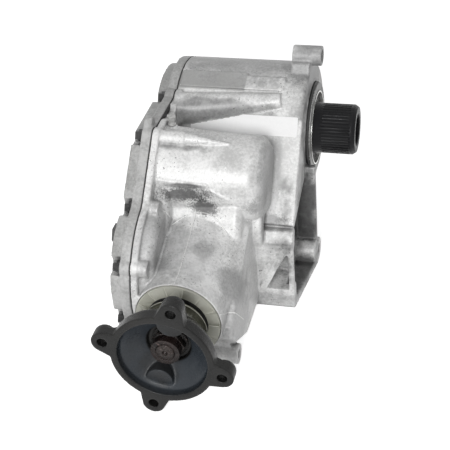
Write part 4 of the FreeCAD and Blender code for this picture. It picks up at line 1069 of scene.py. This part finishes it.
@dataclass
class MouldLines:
    """Fine raised lines where the mould's parts met, laid on the casting's surface.

    The routes are in millimetres: the crest's two ends along Y, the shoulder's centre and half
    axes in X and Y, and the side's corners in Y and Z. X and Z count from the output axis.
    """

    radius: float = 0.5 * MM
    step: float = 2.0 * MM
    shortest: float = 0.1 * MM
    longest_gap: int = 4                # in steps; a wider one stays open
    round_sides: int = 8
    smooth_angle: float = 50.0
    above: float = 0.1                  # where the upper lines start before they are laid
    beside: float = 0.05
    crest: Pair = (-134, -212)
    shoulder_centre: Pair = (5, -168)
    shoulder_size: Pair = (34, 31)
    shoulder_turns: tuple[int, ...] = tuple(range(45, 154, 9))
    side: tuple[Pair, ...] = ((-211, 10), (-193, -2), (-172, -26))

    def routes(self) -> list[tuple[Finish, Vector, list[Vector]]]:
        """The lines before they are laid.

        Returns:
            Each line's finish, the way it is pressed on and its corners off the surface.
        """
        x, z = AXES.output_x, AXES.output_z
        down, inward = Vector((0, 0, -1)), Vector((-1, 0, 0))
        crest = [Vector((x, y * MM, self.above)) for y in self.crest]
        (centre_x, centre_y), (size_x, size_y) = self.shoulder_centre, self.shoulder_size
        shoulder = [Vector((x + centre_x * MM + size_x * MM * math.cos(turn),
                            (centre_y + size_y * math.sin(turn)) * MM, self.above))
                    for turn in map(math.radians, self.shoulder_turns)]
        side = [Vector((self.beside, y * MM, z + up * MM)) for y, up in self.side]
        return [(CAST, down, crest), (CAST, down, shoulder), (FLASH, inward, side)]

    def laid(self, surface: BVHTree, way: Vector, corners: list[Vector]) -> list[Vector]:
        """Presses a route onto the surface.

        Args:
            surface: The casting's surface.
            way: The direction it is pressed in.
            corners: The route's corners.

        Returns:
            Points of the surface along the route.
        """
        points = []
        for start, end in zip(corners, corners[1:]):
            count = max(1, round((end - start).length / self.step))
            points += [surface.ray_cast(start.lerp(end, n / count), way)[0]
                       for n in range(count + 1)]
        return [point for point in points if point is not None]

    def build(self, palette: Palette, casting: bpy.types.Object) -> None:
        """Lays short rounds end to end along each route, as one piece for each line.

        Args:
            palette: The materials.
            casting: The piece that the lines lie on.
        """
        surface = BVHTree.FromObject(casting, bpy.context.evaluated_depsgraph_get())
        for number, (finish, way, corners) in enumerate(self.routes()):
            shape = bmesh.new()
            points = self.laid(surface, way, corners)
            for start, end in zip(points, points[1:]):
                run = end - start
                if not self.shortest < run.length < self.longest_gap * self.step:
                    continue
                turn = run.to_track_quat("Z", "Y").to_matrix().to_4x4()
                bmesh.ops.create_cone(shape, cap_ends=True, segments=self.round_sides,
                                      radius1=self.radius, radius2=self.radius,
                                      depth=run.length + self.radius,
                                      matrix=Matrix.Translation((start + end) / 2) @ turn)
            piece = new_piece(f"mould_line_{number + 1}", shape)
            soften_shading(piece, self.smooth_angle)
            dress(piece, palette.get(finish))
            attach(piece, Body.CASE.value)


# ---- Stage ----
def seen_rays(kit: Nodes) -> Socket:
    """One for rays that show the surroundings: to the camera, off metal and through glass."""
    path = kit.add("LightPath")
    shown = kit.math("MAXIMUM", path.outputs["Is Camera Ray"], path.outputs["Is Glossy Ray"])
    return kit.math("MAXIMUM", shown, path.outputs["Is Transmission Ray"])


@dataclass(frozen=True)
class Lamp:
    """A square soft lamp: where it hangs, its edge in metres and its power in watts."""

    name: str
    place: Triple
    size: float
    power: float

    def hang(self, target: Vector) -> None:
        """Makes the lamp and aims it.

        Args:
            target: Where it points.
        """
        data = bpy.data.lights.new(self.name, "AREA")
        data.size, data.energy = self.size, self.power
        lamp = bpy.data.objects.new(self.name, data)
        lamp.location = self.place
        lamp.rotation_euler = (target - Vector(self.place)).to_track_quat("-Z", "Y").to_euler()
        bpy.context.scene.collection.objects.link(lamp)


@dataclass
class Studio:
    """Pale floor, soft lamps and the camera: a key in front, a wide top lamp and a weak fill."""

    camera_place: Vector = field(default_factory=lambda: Vector((161.8, -880.7, 523.9)) * MM)
    azimuth: float = math.radians(16.37)
    elevation: float = math.radians(35.06)
    roll: float = math.radians(-4.93)
    lens: float = 89.0
    sensor: float = 36.0
    world_light: float = 0.30
    floor_reach: float = 6.0
    floor_gap: float = 0.2 * MM
    floor_tone: float = 0.8
    floor_rough: float = 0.9
    floor_specular: float = 0.1
    floor_lift: float = 0.75
    target: Triple = (-0.06, -0.10, -0.02)
    lamps: tuple[Lamp, ...] = (Lamp("key", (-0.02, -1.35, 0.60), 0.5, 12.0),
                               Lamp("top", (-0.1, 0.1, 1.3), 0.8, 1.6),
                               Lamp("fill", (-0.95, -0.7, 0.6), 0.8, 1.2))

    def build(self) -> None:
        """Makes the whole stage."""
        self.floor()
        self.world()
        for lamp in self.lamps:
            lamp.hang(Vector(self.target))
        self.camera()
        bpy.context.scene.view_settings.view_transform = "Standard"

    def camera(self) -> None:
        """Camera at the viewing angle, with a slight roll and no shift."""
        a, e, r = self.azimuth, self.elevation, self.roll
        back = Vector((math.sin(a) * math.cos(e), -math.cos(a) * math.cos(e), math.sin(e)))
        right = Vector((math.cos(a), math.sin(a), 0.0))
        up = back.cross(right)
        across = math.cos(r) * right + math.sin(r) * up
        upright = -math.sin(r) * right + math.cos(r) * up
        turn = Matrix((across, upright, back)).transposed().to_4x4()
        data = bpy.data.cameras.new("camera")
        data.lens, data.sensor_width = self.lens, self.sensor
        camera = bpy.data.objects.new("camera", data)
        camera.matrix_world = Matrix.Translation(self.camera_place) @ turn
        bpy.context.scene.collection.objects.link(camera)
        bpy.context.scene.camera = camera

    def floor(self) -> None:
        """White floor that keeps the soft shadow of the case and is lifted to white round it."""
        shape = bmesh.new()
        bmesh.ops.create_grid(shape, x_segments=1, y_segments=1, size=self.floor_reach)
        bmesh.ops.translate(shape, vec=(0, 0, AXES.base - self.floor_gap), verts=shape.verts)
        floor = new_piece("floor", shape)
        material = bpy.data.materials.new("floor_white")
        material.use_nodes = True
        shader = material.node_tree.nodes["Principled BSDF"]
        shader.inputs["Base Color"].default_value = (*(self.floor_tone,) * 3, 1)
        shader.inputs["Roughness"].default_value = self.floor_rough
        shader.inputs["Specular IOR Level"].default_value = self.floor_specular
        shader.inputs["Emission Color"].default_value = (1, 1, 1, 1)
        kit = Nodes(material.node_tree)
        lift = kit.math("MULTIPLY", seen_rays(kit), self.floor_lift)
        kit.wire(lift, shader.inputs["Emission Strength"])
        floor.data.materials.append(material)

    def world(self) -> None:
        """Even surroundings: white where they are seen, softer where they light."""
        world = bpy.data.worlds.new("surroundings")
        world.use_nodes = True
        kit = Nodes(world.node_tree)
        background = world.node_tree.nodes["Background"]
        background.inputs["Color"].default_value = (1.0, 1.0, 1.0, 1.0)
        kit.wire(kit.ramp(seen_rays(kit), 0.0, 1.0, self.world_light, 1.0),
                 background.inputs["Strength"])
        bpy.context.scene.world = world


def node_parts() -> list[NodePart]:
    """The pieces that stand for CAD nodes.

    Returns:
        Every such piece, in the order in which it is built.
    """
    return [
        CastShell("main_case", Body.CASE, CAST, voxel=0.95 * MM, relax=2,
                  forms=(NoseSkirt().add, LegBoss().add), settle=PanelFlank().dip),
        CastShell("side_cover", Body.CASE, COVER_CAST, voxel=1.0 * MM, budget=120_000),
        CastShell("output_flange", Body.OUTPUT, BLACK_IRON, voxel=0.7 * MM, relax=7,
                  budget=90_000),
        MachinedPart("input_sleeve", Body.INPUT, SLEEVE_BLACK),
        MachinedPart("cover_bolts", Body.CASE, FASTENER, chamfer=0.25 * MM),
        MachinedPart("fill_plug", Body.CASE, PLUG, chamfer=0.25 * MM),
        MachinedPart("drain_plug", Body.CASE, PLUG, chamfer=0.25 * MM),
        MachinedPart("fill_plug_washer", Body.CASE, WASHER),
        MachinedPart("drain_plug_washer", Body.CASE, WASHER),
        MachinedPart("cover_gasket", Body.CASE, GASKET),
        MachinedPart("input_seal_case", Body.CASE, SEAL_METAL),
        MachinedPart("input_seal_lip", Body.CASE, RUBBER),
        MachinedPart("pilot_o_ring", Body.CASE, RUBBER, smooth_angle=60.0),
        MachinedPart("halfshaft_seal", Body.CASE, RUBBER),
        MachinedPart("pinion_seal", Body.CASE, RUBBER),
        MachinedPart("pinion_collar", Body.CASE, COLLAR),
        MachinedPart("dust_slinger", Body.OUTPUT, COLLAR),
        MachinedPart("pinion_nut", Body.OUTPUT, RUST, chamfer=0.5 * MM),
        MachinedPart("breather", Body.CASE, VENT, chamfer=0.3 * MM),
        MachinedPart("pinion_shaft", Body.OUTPUT, SHAFT),
    ]


def main() -> None:
    """Builds every piece in order."""
    palette = Palette()
    pieces = {part.node: part.build(palette) for part in node_parts()}
    InnerWorks().build(palette, set(pieces))
    DeckLabel().build(palette)
    MouldLines().build(palette, pieces["main_case"])
    Studio().build()


if __name__ == "__main__":
    main()
